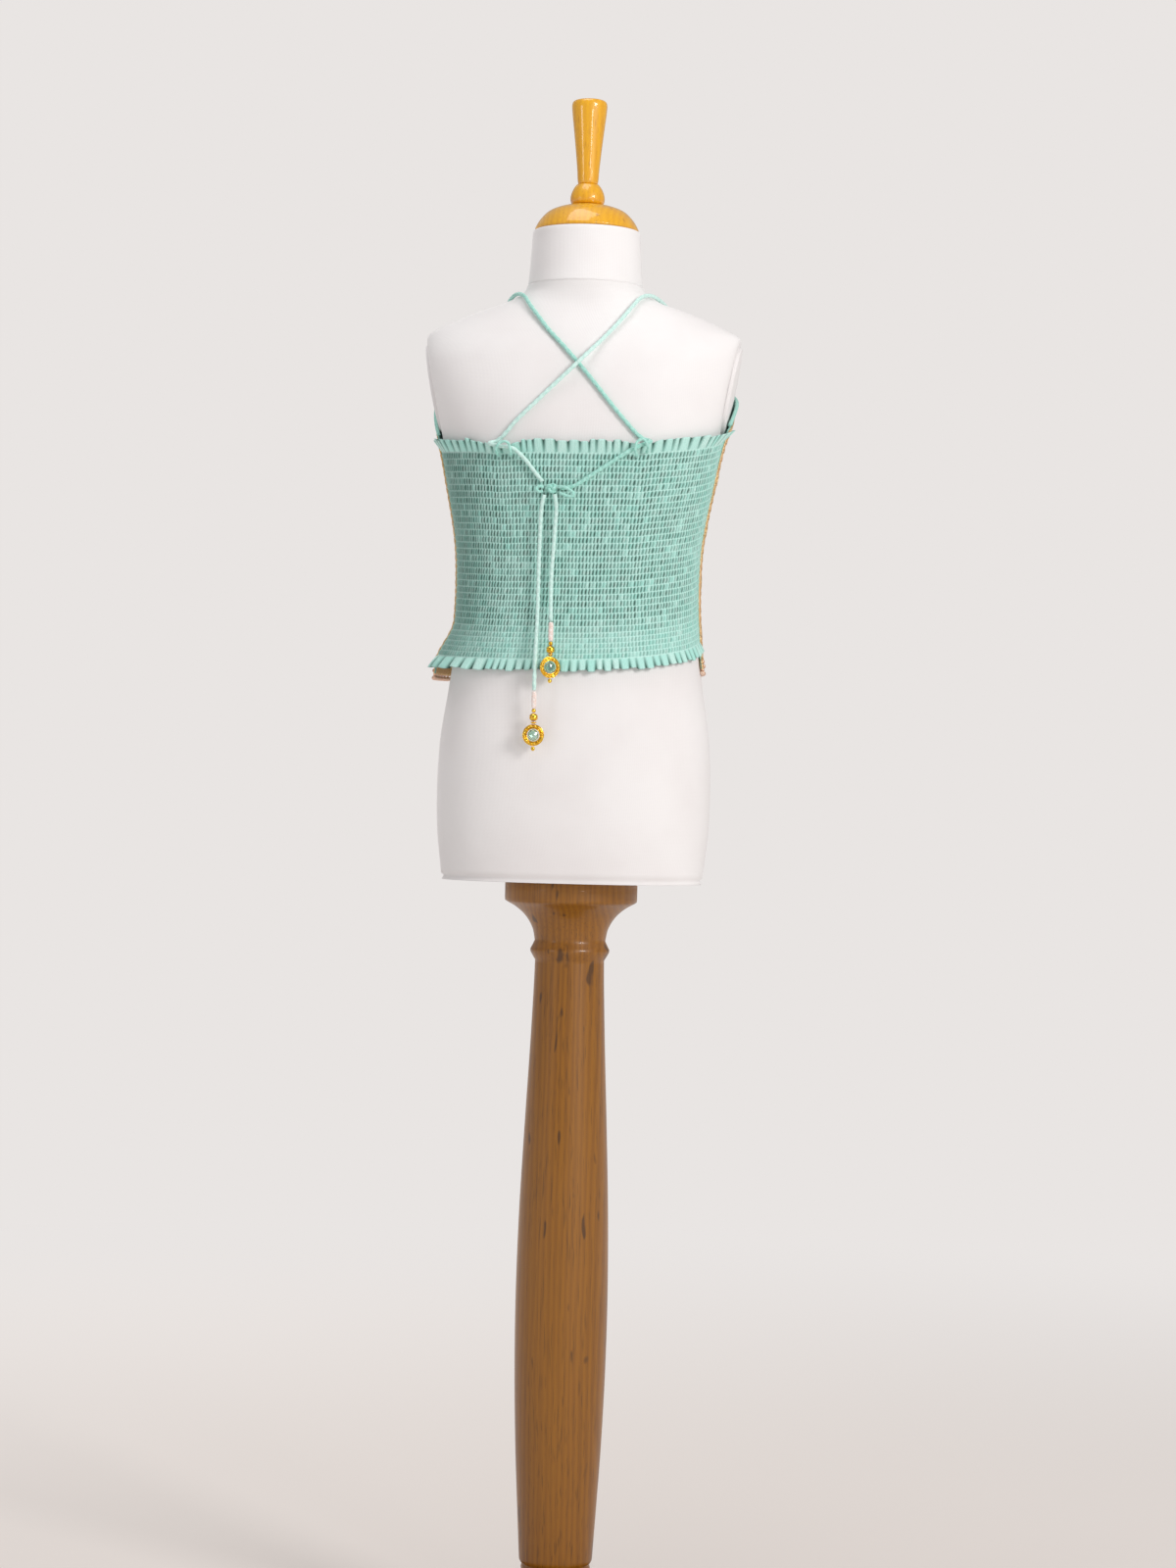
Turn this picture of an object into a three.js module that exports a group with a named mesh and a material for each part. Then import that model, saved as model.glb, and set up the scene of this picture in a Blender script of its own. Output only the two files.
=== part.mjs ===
/**
 * A child's choli blouse, back-tied, standing on a limbless dress form.
 *
 * Millimetres, +Z up. The blouse faces -Y, so its elasticated back faces +Y, and the wearer's
 * right side is at -X. The origin is the centre of the wooden base's underside.
 *
 * A place round the body is a "turn" in degrees: 0 at the centre back, 90 at the wearer's right
 * side, 180 at the centre front and -90 at the wearer's left side.
 */
import * as THREE from 'three';

// ---- Driving dimensions ------------------------------------------------------------------

const SEAM_GAP = 0.3;                 // between pieces that are sewn or rest together
const SEAM_TURN = 85.5;               // side seams, a little behind the pure sides

// Body sections: height, half width, depth behind and depth in front of the middle.
const BODY = [
  [630, 106, 76, 77],
  [680, 111, 80, 79],
  [740, 110, 81, 80],
  [790, 103, 77.5, 79],
  [830, 98.5, 72.5, 77],
  [868, 96.8, 69.5, 75.5],
  [907, 98.6, 71, 76.5],
  [955, 107.3, 75.5, 80],
  [985, 113.3, 77.5, 80.5],
  [1003, 119, 77.5, 79],
  [1025, 126.5, 74.5, 74.5],
  [1045, 132.5, 69.5, 66.5],
  [1060, 133.5, 64.5, 59],
  [1073.5, 128, 56, 51.5],
  [1083.5, 110, 50, 47.6],
  [1093.5, 86.5, 45.2, 45],
  [1100.5, 66, 43.6, 43.6],
  [1108, 51.5, 44.2, 44.2],
  [1115.3, 47, 46.2, 46.2],
];
const BODY_ROUND = { chest: 2.3, neck: 2 };   // 2 is an ellipse, more is squarer
const ARM_FLAT = { bottom: 975, reach: 111, growth: 0.056, power: 1.25 };   // where arms are cut off
const ARM_CAP = { height: 1031, halfHeight: 36, halfDepth: 25, thick: 3 };

const CLOTH = 2;                      // wall of a panel
const BACK = { ease: 0.8, headFrill: 10.5, hemFrill: 9.5, pleats: 29 };
// Where a strap presses the heading down as it comes over: place across, half width, depth.
const DIPS = [[-0.47, 0.09, 5.5], [0.445, 0.065, 4.6]];
const HEM_FLARE = { rise: 38, out: 11.5 };   // the back's lower rows, at the wearer's left
const FRONT = { ease: 0.9, strapTurn: 50, strapHeight: 1046, neckHeight: 1004, armRoom: 2.4 };
const BINDING = { radius: 1.5 };
const HEM_TRIM = { height: 12, thick: 1.4 };
const SIDE_TRIM = { width: 6.5, thick: 1 };

const CORD = { radius: 1.7, sides: 8 };
const LOOP = { radius: 1.2 };
const KNOT = { centre: [15.6, 81.6, 943.6], radii: [5.4, 3.6, 4.4] };

const NECK = { bottom: 1115.6, top: 1160.1 };
const POST = { bottom: 24.3, top: 629.7 };
const PLINTH = { radius: 150, height: 24 };

// ---- Materials ---------------------------------------------------------------------------

const finish = (color, roughness, metalness = 0) =>
  new THREE.MeshStandardMaterial({ color, roughness, metalness });
const MINT = finish('#7cc4a8', 0.7);
const MINT_CORD = finish('#8fd0b6', 0.55);
const ZARI = finish('#c9a24a', 0.45, 0.6);
const THREAD = finish('#e6c3b0', 0.8);
const GILT = finish('#d8a028', 0.25, 1);
const GLASS = finish('#cfe6d8', 0.1);
const JERSEY = finish('#ece7e4', 0.9);
const WOOD = finish('#d99a10', 0.25);

// ---- The body surface --------------------------------------------------------------------

/** 0 at `from`, 1 at `to` and beyond, with an easy start and finish; `to` may be the lower. */
function smooth(from, to, value) {
  const t = THREE.MathUtils.clamp((value - from) / (to - from), 0, 1);
  return t * t * (3 - 2 * t);
}

/** A soft bump of height 1 about `centre`. */
const hump = (centre, width, value) => Math.exp(-(((value - centre) / width) ** 2));

/** Half width, back depth and front depth at a height, on a smooth curve through BODY. */
function section(height) {
  const last = BODY.length - 1;
  const z = THREE.MathUtils.clamp(height, BODY[0][0], BODY[last][0]);
  let i = 0;
  while (i < last - 1 && z > BODY[i + 1][0]) i += 1;
  const [a, b] = [BODY[i], BODY[i + 1]];
  const before = BODY[Math.max(i - 1, 0)];
  const after = BODY[Math.min(i + 2, last)];
  const span = b[0] - a[0];
  const t = (z - a[0]) / span;
  return [1, 2, 3].map((k) => {
    const startSlope = (b[k] - before[k]) / (b[0] - before[0]);
    const endSlope = (after[k] - a[k]) / (after[0] - a[0]);
    return (2 * t ** 3 - 3 * t ** 2 + 1) * a[k] + (t ** 3 - 2 * t ** 2 + t) * span * startSlope
      + (3 * t ** 2 - 2 * t ** 3) * b[k] + (t ** 3 - t ** 2) * span * endSlope;
  });
}

/** Distance from the middle line to the body at a turn (radians) and height. */
function reach(turn, height) {
  const [half, back, front] = section(height);
  const across = Math.abs(Math.sin(turn)) / half;
  const along = Math.abs(Math.cos(turn)) / (Math.cos(turn) > 0 ? back : front);
  const power = THREE.MathUtils.lerp(BODY_ROUND.chest, BODY_ROUND.neck, smooth(1050, 1100, height));
  return (across ** power + along ** power) ** (-1 / power);
}

/** The point at a turn (degrees) and height, moved out level from the body by `out`. */
function bodyPoint(turn, height, out) {
  const angle = THREE.MathUtils.degToRad(turn);
  const level = (a) => new THREE.Vector2(-Math.sin(a), Math.cos(a)).multiplyScalar(reach(a, height));
  const step = 0.004;
  const along = level(angle + step).sub(level(angle - step)).normalize();
  const point = level(angle);
  return new THREE.Vector3(point.x + along.y * out, point.y - along.x * out, height);
}

/** How far out the nearly flat cut at each arm is, at a height. */
const armReach = (height) =>
  ARM_FLAT.reach + ARM_FLAT.growth * Math.max(height - ARM_FLAT.bottom, 0) ** ARM_FLAT.power;

// ---- Solid makers ------------------------------------------------------------------------

/** A geometry from a list of points and a list of triangles. */
function meshFrom(points, triangles) {
  const geometry = new THREE.BufferGeometry();
  geometry.setAttribute('position', new THREE.Float32BufferAttribute(points.flatMap((p) => p.toArray()), 3));
  geometry.setIndex(triangles);
  return geometry;
}

/** A closed wall between an outer and an inner grid: rows go up, columns go round. */
function wall(rows, columns, pointAt) {
  const count = rows * columns;
  const points = [];
  for (const side of [1, 0]) {
    for (let r = 0; r < rows; r += 1) {
      for (let c = 0; c < columns; c += 1) points.push(pointAt(r / (rows - 1), c / (columns - 1), side));
    }
  }
  const triangles = [];
  const quad = (a, b, c, d) => triangles.push(a, b, c, a, c, d);
  const at = (r, c, inner) => r * columns + c + (inner ? count : 0);
  for (let r = 0; r < rows - 1; r += 1) {
    for (let c = 0; c < columns - 1; c += 1) {
      quad(at(r, c), at(r, c + 1), at(r + 1, c + 1), at(r + 1, c));
      quad(at(r, c, 1), at(r + 1, c, 1), at(r + 1, c + 1, 1), at(r, c + 1, 1));
    }
    quad(at(r, 0), at(r + 1, 0), at(r + 1, 0, 1), at(r, 0, 1));
    quad(at(r, columns - 1), at(r, columns - 1, 1), at(r + 1, columns - 1, 1), at(r + 1, columns - 1));
  }
  for (let c = 0; c < columns - 1; c += 1) {
    quad(at(0, c), at(0, c, 1), at(0, c + 1, 1), at(0, c + 1));
    quad(at(rows - 1, c), at(rows - 1, c + 1), at(rows - 1, c + 1, 1), at(rows - 1, c, 1));
  }
  return meshFrom(points, triangles);
}

/** A solid skinned over closed level rings, bottom ring first, each going round the same way. */
function stack(rings) {
  const columns = rings[0].length;
  const points = rings.flat();
  const triangles = [];
  for (let r = 0; r < rings.length - 1; r += 1) {
    for (let c = 0; c < columns; c += 1) {
      const next = (c + 1) % columns;
      const [a, b] = [r * columns + c, r * columns + next];
      triangles.push(a, b, b + columns, a, b + columns, a + columns);
    }
  }
  const top = (rings.length - 1) * columns;
  for (let c = 1; c < columns - 1; c += 1) {
    triangles.push(0, c + 1, c);
    triangles.push(top, top + c, top + c + 1);
  }
  return meshFrom(points, triangles);
}

/** A round solid about +Z from [radius, height] points that start and end on the axis. */
function turned(profile, segments) {
  const points = profile.map(([radius, height]) => new THREE.Vector2(radius, height));
  return new THREE.LatheGeometry(points, segments).rotateX(Math.PI / 2);
}

/** A tube along hand-set points; `step` is the length of one facet. */
function tube(route, radius, step, sides = CORD.sides) {
  const path = new THREE.CatmullRomCurve3(route.map((p) => new THREE.Vector3(...p)), false, 'centripetal');
  const section2d = new THREE.Shape();
  for (let i = 0; i < sides; i += 1) {
    const angle = (i / sides) * 2 * Math.PI;
    const corner = [radius * Math.cos(angle), radius * Math.sin(angle)];
    if (i === 0) section2d.moveTo(...corner);
    else section2d.lineTo(...corner);
  }
  section2d.closePath();
  const steps = Math.max(2, Math.round(path.getLength() / step));
  return new THREE.ExtrudeGeometry(section2d, { steps, extrudePath: path, curveSegments: 1 });
}

const group = new THREE.Group();
group.name = 'choli_on_dress_form';

function add(name, geometry, material, position = [0, 0, 0], rotation = [0, 0, 0]) {
  const mesh = new THREE.Mesh(geometry, material);
  mesh.name = name;
  mesh.position.set(...position);
  mesh.rotation.set(...rotation);
  group.add(mesh);
}

// ---- Back panel: shirred, with a frilled heading and a frilled hem -------------------------

/** How far the straps press the heading down. */
const headDip = (t) => DIPS.reduce((sum, [place, width, depth]) => sum + depth * hump(place, width, t), 0);

/** The heading's height before the straps press it: higher at the wearer's right side. */
const headCurve = (t) => 982.3 + (11.6 + 5.9 * Math.sign(t)) * Math.abs(t) ** 3;

/** The heading's height. */
function headHeight(turn) {
  const t = turn / SEAM_TURN;
  return headCurve(t) - headDip(t);
}

/** The height of the stitching under the heading's frill, which the straps pull down less. */
function headLine(turn) {
  const t = turn / SEAM_TURN;
  return headCurve(t) - 0.2 * headDip(t) - BACK.headFrill;
}

/** The back hem's height, higher at the wearer's right side. */
function hemHeight(turn) {
  const t = turn / SEAM_TURN;
  return 799 + (12.2 + 7.4 * Math.sign(t)) * Math.abs(t) ** 2.5 + 1.6 * t * (1 - t * t);
}

/** How far the shirred part's inner face stands off the body: it flares out at the lower left. */
function shirredOut(turn, height) {
  const t = turn / SEAM_TURN;
  const low = smooth(HEM_FLARE.rise, 3, height - hemHeight(turn));
  return BACK.ease + HEM_FLARE.out * low * smooth(-0.5, -1, t);
}

/** How far the back's inner face stands off the body at a turn and a height up the panel. */
function backOut(turn, height) {
  const t = turn / SEAM_TURN;
  const line = headLine(turn);
  const hem = hemHeight(turn) + BACK.hemFrill;
  const up = THREE.MathUtils.clamp((height - line) / (headHeight(turn) - line), 0, 1);
  const down = THREE.MathUtils.clamp((hem - height) / BACK.hemFrill, 0, 1);
  const pleat = Math.sin(Math.PI * BACK.pleats * t);
  const headFlare = 2.2 + 2 * smooth(-0.7, -1, t) + 3.5 * smooth(0.7, 1, t);
  const hemFlare = 3.4 - 1.4 * smooth(0.4, 1, t);
  return shirredOut(turn, height) + up * (headFlare + 1.3 * pleat) + down * (hemFlare + 1.4 * pleat);
}

function backPanel() {
  const [bodyRows, frillRows] = [8, 2];
  const rows = bodyRows + 2 * frillRows + 1;
  return wall(rows, 3 * BACK.pleats + 1, (rise, round, side) => {
    const turn = THREE.MathUtils.lerp(-SEAM_TURN, SEAM_TURN, round);
    const row = Math.round(rise * (rows - 1));
    const [hem, head] = [hemHeight(turn), headHeight(turn)];
    const [low, high] = [hem + BACK.hemFrill, headLine(turn)];
    let height = THREE.MathUtils.lerp(low, high, (row - frillRows) / bodyRows);
    if (row < frillRows) height = THREE.MathUtils.lerp(hem, low, row / frillRows);
    if (row > frillRows + bodyRows) {
      height = THREE.MathUtils.lerp(high, head, (row - frillRows - bodyRows) / frillRows);
    }
    return bodyPoint(turn, height, backOut(turn, height) + side * CLOTH);
  });
}

// ---- Front panel: one stiff embroidered piece ------------------------------------------------

const FRONT_SEAM = SEAM_TURN + 0.35;  // 0.35 degrees leaves the side seam's gap

/** Turn counted from the centre front: negative towards the wearer's right. */
const fromFront = (turn) => turn - 180;

function frontHem(turn) {
  return 796 - 4.2 * Math.sin(THREE.MathUtils.degToRad(fromFront(turn)));
}

/** The front's upper edge: a scooped neck between the straps, and an armhole each side. */
function frontTop(turn) {
  const away = Math.abs(fromFront(turn));
  if (away <= FRONT.strapTurn) {
    const t = away / FRONT.strapTurn;
    return FRONT.neckHeight + (FRONT.strapHeight - FRONT.neckHeight) * t ** 2.1;
  }
  const underarm = headHeight(fromFront(turn) < 0 ? SEAM_TURN : -SEAM_TURN);
  const t = (away - FRONT.strapTurn) / (180 - FRONT_SEAM - FRONT.strapTurn);
  return FRONT.strapHeight - (FRONT.strapHeight - underarm) * t ** 1.7;
}

/** How far the front's inner face stands off the body; at each side it meets the back. */
function frontOut(turn, height) {
  const away = Math.abs(fromFront(turn));
  const waistSpan = 3.2 * hump(868, 40, height) * smooth(88, 60, away);
  const hemEase = 2.2 * smooth(830, 795, height) * smooth(88, 60, away);
  const drag = 0.6 * (1 + Math.sin(THREE.MathUtils.degToRad(away * 9))) * smooth(900, 1010, height)
    * smooth(12, 30, away) * smooth(72, 55, away);
  const own = FRONT.ease + waistSpan + hemEase + drag;
  const shoulder = 0.7 * smooth(955, 1000, height);
  const seam = shirredOut(fromFront(turn) < 0 ? SEAM_TURN : -SEAM_TURN, height);
  return shoulder + THREE.MathUtils.lerp(own, seam, smooth(58, 90, away));
}

/** A point on the front, drawn in where it would stand proud of the cut at an arm. */
function frontPoint(turn, height, out) {
  const point = bodyPoint(turn, height, out);
  const limit = armReach(height) + ARM_CAP.thick + FRONT.armRoom + out;
  const soft = 2.5;                   // the cloth rounds in over this much either side
  const over = Math.abs(point.x) - limit;
  if (over > soft) point.x = Math.sign(point.x) * limit;
  else if (over > -soft) point.x -= Math.sign(point.x) * (over + soft) ** 2 / (4 * soft);
  return point;
}

// The panel's columns: close together under the side trims, even between them.
const TRIM_TURN = THREE.MathUtils.radToDeg(SIDE_TRIM.width / 104);
const EVEN_COLUMNS = 36;
const FRONT_ROWS = 22;
const FRONT_TURNS = [FRONT_SEAM, FRONT_SEAM + TRIM_TURN / 2];
for (let i = 0; i <= EVEN_COLUMNS; i += 1) {
  const start = FRONT_SEAM + TRIM_TURN;
  FRONT_TURNS.push(THREE.MathUtils.lerp(start, 360 - start, i / EVEN_COLUMNS));
}
FRONT_TURNS.push(360 - FRONT_SEAM - TRIM_TURN / 2, 360 - FRONT_SEAM);
const frontTurn = (round) => FRONT_TURNS[Math.round(round * (FRONT_TURNS.length - 1))];

function frontPanel() {
  return wall(FRONT_ROWS, FRONT_TURNS.length, (rise, round, side) => {
    const turn = frontTurn(round);
    const height = THREE.MathUtils.lerp(frontHem(turn), frontTop(turn), rise);
    return frontPoint(turn, height, frontOut(turn, height) + side * CLOTH);
  });
}

/** A beaded band on the front's lower edge, outside the panel. */
function hemTrim() {
  return wall(2, FRONT_TURNS.length, (rise, round, side) => {
    const turn = frontTurn(round);
    const height = frontHem(turn) + rise * HEM_TRIM.height;
    const out = frontOut(turn, height) + CLOTH + 2 * SEAM_GAP + side * HEM_TRIM.thick;
    return frontPoint(turn, height, out);
  });
}

/** A metal-thread border up one side of the front, beside the seam. */
function sideTrim(isRight) {
  const first = isRight ? 0 : FRONT_TURNS.length - 3;
  return wall(FRONT_ROWS, 3, (rise, round, side) => {
    const turn = FRONT_TURNS[first + Math.round(2 * round)];
    const low = frontHem(turn) + HEM_TRIM.height + SEAM_GAP;
    const height = THREE.MathUtils.lerp(low, frontTop(turn) - 1, rise);
    const out = frontOut(turn, height) + CLOTH + 4 * SEAM_GAP + side * SIDE_TRIM.thick;
    return frontPoint(turn, height, out);
  });
}

/** A rouleau binding that sits on the front's upper edge between two turns. */
function binding(fromTurn, toTurn, points) {
  const route = [];
  for (let i = 0; i <= points; i += 1) {
    const turn = THREE.MathUtils.lerp(fromTurn, toTurn, i / points);
    const height = frontTop(turn);
    const point = frontPoint(turn, height, frontOut(turn, height) + CLOTH / 2 + SEAM_GAP);
    const arc = 1.7;                  // of one degree, so that a steep edge gets more lift
    const slope = (frontTop(turn + 0.5) - frontTop(turn - 0.5)) / arc;
    route.push([point.x, point.y, height + (BINDING.radius + SEAM_GAP + 0.1) * Math.hypot(1, slope)]);
  }
  return tube(route, BINDING.radius, 6, 6);
}

function frontPieces() {
  const strap = { right: 180 - FRONT.strapTurn, left: 180 + FRONT.strapTurn };
  add('front_panel', frontPanel(), MINT);
  add('front_hem_trim', hemTrim(), ZARI);
  add('side_trim_right', sideTrim(true), ZARI);
  add('side_trim_left', sideTrim(false), ZARI);
  add('neck_binding', binding(strap.right + 2, strap.left - 2, 24), MINT);
  add('armhole_binding_right', binding(FRONT_SEAM + 0.5, strap.right - 2, 14), MINT);
  add('armhole_binding_left', binding(strap.left + 2, 360 - FRONT_SEAM - 0.5, 14), MINT);
}

// ---- Cords ---------------------------------------------------------------------------------

// From the front's strap point, over the shoulder, across the back and down behind the heading,
// then out over its edge and down to the knot.
const STRAP_RIGHT = [
  [-72, -59.2, 1051.5], [-72.3, -55.8, 1058], [-72.4, -49.9, 1069], [-71.7, -43.1, 1079.5],
  [-70.2, -33.8, 1090.8], [-67.3, -22, 1099], [-64, -10, 1103.2], [-60.3, 2, 1105.3],
  [-56.1, 13.4, 1106.5], [-51.8, 24, 1105.4], [-47.3, 34.7, 1101.3], [-42.1, 44.1, 1093.3],
  [-32.9, 53.8, 1080], [-21.6, 64.1, 1065.6], [-11.2, 72, 1053.8], [-2.3, 76.3, 1044.2],
  [8.6, 77, 1033.5], [20.1, 77.2, 1022.4], [29.2, 77.5, 1013.4], [38.3, 77.2, 1004.6],
  [46.5, 75.8, 996.6], [53, 73.9, 989], [58.2, 72, 983.6], [61.4, 71.1, 981.6], [64, 71.2, 980.6],
  [66.1, 72.4, 980], [66.7, 74.3, 979.4], [65.8, 76, 978.8], [63.6, 77, 978.1], [60, 77.4, 977.3],
  [56, 78.3, 976.5], [51.2, 79.4, 976.2], [47, 80.1, 974.9], [42.2, 80.1, 971.4],
  [36.4, 79.5, 965.6], [31, 79.4, 958.8], [26.2, 79.8, 952.9], [22.8, 80.6, 949],
];
const STRAP_LEFT = [
  [72, -59.2, 1051.5], [72.3, -55.8, 1058], [72.4, -49.9, 1069], [71.7, -43.1, 1079.5],
  [70.2, -33.8, 1090.8], [67.3, -22, 1099], [64, -10, 1103.2], [60.3, 2, 1105.3],
  [55.8, 13.4, 1106.6], [50.8, 24, 1105.8], [45.5, 34.7, 1102], [39.6, 44.3, 1093.5],
  [31.8, 51.7, 1083.5], [23.3, 58.5, 1072.8], [10.5, 67.3, 1059.2], [-2.3, 71.9, 1045],
  [-15.1, 75.6, 1030], [-27.2, 77.5, 1015.2], [-37.8, 77.4, 1002.6], [-46, 75.9, 993.4],
  [-51.6, 74.4, 987.6], [-55.6, 73.4, 984.9], [-58.4, 73.2, 983.8], [-60.7, 73.8, 983.2],
  [-62.1, 75.2, 982.7], [-62.1, 76.8, 982.2], [-60.8, 78.1, 981.4], [-58.4, 78.8, 980.4],
  [-55, 79.1, 979.2], [-51, 79.4, 977.2], [-44.4, 79.8, 973.6], [-37.6, 79.7, 969.2],
  [-30.1, 79.6, 964.3], [-21.6, 79.9, 958.6], [-13.3, 80, 953], [-6.6, 79.9, 948.4],
  [-1, 79.9, 945.4], [4, 80.1, 944.2], [8, 80.4, 944],
];
// From the knot, lying on the back, over the hem frill and straight down to the wrapped ends.
const TAIL_RIGHT = [
  [12.4, 85.8, 938.6], [11.4, 85.2, 934], [11, 82.6, 926], [12, 80, 912], [13, 78.6, 895],
  [14, 78.4, 878], [14, 79.6, 862], [13.4, 83.4, 848.6], [12.7, 87.4, 838],
];
const TAIL_LEFT = [
  [20.6, 84.6, 938], [22, 84, 933], [23, 81.6, 925], [23.8, 79.6, 910], [24.2, 78.2, 895],
  [24.4, 77.6, 878], [24.4, 77.8, 862], [24.4, 79.2, 846], [24.4, 82.4, 830], [24.4, 86.4, 815],
  [24.4, 89.6, 800], [24.4, 90.6, 792], [24.4, 91, 783],
];
const BOW_RIGHT = [
  [9.6, 84.8, 944.4], [5.6, 85.8, 944.4], [1.2, 86.1, 942.6], [-2.4, 86.1, 939.8], [-2.2, 86, 937.2],
  [1.4, 85.9, 937.2], [5.4, 85.8, 938.6], [8.8, 85.6, 939.6],
];
const BOW_LEFT = [
  [21.6, 83.8, 944], [24, 84.8, 944.8], [26.4, 85.1, 943.8], [26.8, 85.1, 941.6], [24.8, 85, 940.4],
  [22, 84.6, 941.2],
];
// Small rouleau loops, sewn by both ends to the heading's face, that hold the straps down.
const LOOP_LEFT = [
  [59, 73, 969.4], [60.4, 76.6, 971.2], [60.8, 81, 974], [59, 82.9, 977.4], [55.4, 83, 980],
  [51.6, 83.4, 979.6], [49.6, 83.9, 977.2], [49, 84, 974.2], [48.8, 82, 971], [49.2, 76.2, 969],
];
const LOOP_RIGHT = [
  [-58.8, 74.2, 973.4], [-60.2, 78.4, 975.6], [-59.8, 82.6, 979.6], [-56.8, 82.8, 983.2],
  [-53.6, 83, 982.8], [-51.2, 83.6, 979.8], [-50.6, 83.6, 976], [-50.8, 81.6, 972.6],
  [-51.6, 75.8, 970.2],
];

/** A rounded solid with its three half sizes. */
function pebble(radii, across = 12, down = 8) {
  return new THREE.SphereGeometry(1, across, down).rotateX(Math.PI / 2).scale(...radii);
}

function cords() {
  add('strap_right', tube(STRAP_RIGHT, CORD.radius, 8.5), MINT_CORD);
  add('strap_left', tube(STRAP_LEFT, CORD.radius, 8.5), MINT_CORD);
  add('strap_loop_left', tube(LOOP_LEFT, LOOP.radius, 3.2, 6), MINT_CORD);
  add('strap_loop_right', tube(LOOP_RIGHT, LOOP.radius, 3.2, 6), MINT_CORD);
  add('strap_knot', pebble(KNOT.radii), MINT_CORD, KNOT.centre);
  add('bow_right', tube(BOW_RIGHT, 1.3, 3.6, 6), MINT_CORD);
  add('bow_left', tube(BOW_LEFT, 1.3, 3.6, 6), MINT_CORD);
  add('tail_right', tube(TAIL_RIGHT, CORD.radius, 8), MINT_CORD);
  add('tail_left', tube(TAIL_LEFT, CORD.radius, 8), MINT_CORD);
}

/**
 * A hanging ornament (latkan): a thread wrap on the cord's end, a bead, a ball, a ring that
 * frames a glass bead, and a drop bead. `top` is the wrap's upper end; `ring` is its centre.
 */
function latkan(side, at) {
  const { x, y, wrapTop, wrapBottom, ballHeight, ringHeight, ringTurn } = at;
  const ringRadius = 7;
  const ringThick = 1.6;
  const wrap = turned([[0, 0], [1.75, 0], [2.1, 1.5], [2.1, wrapTop - wrapBottom - 1.5],
    [1.75, wrapTop - wrapBottom], [0, wrapTop - wrapBottom]], 8);
  const cone = turned([[0, 0], [1.3, 0], [2.4, 1.2], [2.4, 1.8], [0, 1.8]], 10);
  const ring = new THREE.TorusGeometry(ringRadius, ringThick, 6, 18).rotateX(Math.PI / 2);
  const facing = [0, 0, THREE.MathUtils.degToRad(ringTurn)];
  add(`latkan_${side}_wrap`, wrap, THREAD, [x, y, wrapBottom]);
  add(`latkan_${side}_cap_bead`, pebble([1.7, 1.7, 1.6], 8, 6), GILT, [x, y, wrapBottom - 1.9]);
  add(`latkan_${side}_ball`, pebble([3.2, 3.2, 2.85], 12, 8), GILT, [x, y, ballHeight]);
  add(`latkan_${side}_cone`, cone, GILT, [x, y, ringHeight + ringRadius + ringThick + SEAM_GAP]);
  add(`latkan_${side}_ring`, ring, GILT, [x, y, ringHeight], facing);
  add(`latkan_${side}_glass`, pebble([4.4, 2.2, 4.6], 10, 8), GLASS, [x, y, ringHeight], facing);
  add(`latkan_${side}_drop`, pebble([1.7, 1.7, 1.8], 8, 6), GILT,
    [x, y, ringHeight - ringRadius - ringThick - SEAM_GAP - 1.8]);
}

// ---- Dress form and stand ------------------------------------------------------------------

/** The torso: the body surface, cut flat at the arms, with a soft lower edge. */
function torso() {
  const columns = 48;
  const [edge, drop] = [3, 5];
  const heights = [BODY[0][0] + drop, 660, 690, 720, 750, 780, 805, 830, 855, 880, 905, 930, 955,
    975, 990, 1005, 1020, 1035, 1048, 1060, 1068, 1073.5, 1079, 1085, 1091, 1097, 1103, 1109,
    BODY.at(-1)[0]];
  const ring = (height, out) => Array.from({ length: columns }, (_, c) => {
    const point = bodyPoint((c / columns) * 360, height, out);
    const limit = height > ARM_FLAT.bottom ? armReach(height) : Infinity;
    point.x = THREE.MathUtils.clamp(point.x, -limit, limit);
    return point;
  });
  const foot = ring(BODY[0][0], -edge);
  return stack([foot, ...heights.map((height) => ring(height, 0))]);
}

/** A shallow oval cap on the flat of an arm. */
function armCap() {
  const { thick } = ARM_CAP;
  const profile = [[0, 0], [1, 0], [1, 0.5 * thick], [0.95, 0.85 * thick], [0.8, thick], [0, thick]];
  return turned(profile, 28).scale(ARM_CAP.halfHeight, ARM_CAP.halfDepth, 1);
}

function dressForm() {
  add('form_torso', torso(), JERSEY);
  const [low, high] = [-1, 1].map((end) => armReach(ARM_CAP.height + end * ARM_CAP.halfHeight));
  const lean = Math.atan((high - low) / (2 * ARM_CAP.halfHeight));
  const out = (low + high) / 2 + SEAM_GAP + 0.2;
  add('form_arm_cap_left', armCap(), JERSEY, [out, 0, ARM_CAP.height], [0, Math.PI / 2 + lean, 0]);
  add('form_arm_cap_right', armCap(), JERSEY, [-out, 0, ARM_CAP.height], [0, -Math.PI / 2 - lean, 0]);
  add('form_neck', turned([[0, NECK.bottom], [46.6, NECK.bottom], [45.9, 1126], [45, 1140],
    [44.2, 1152], [43.8, NECK.top - 0.8], [43, NECK.top], [0, NECK.top]], 32), JERSEY);
}

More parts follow.
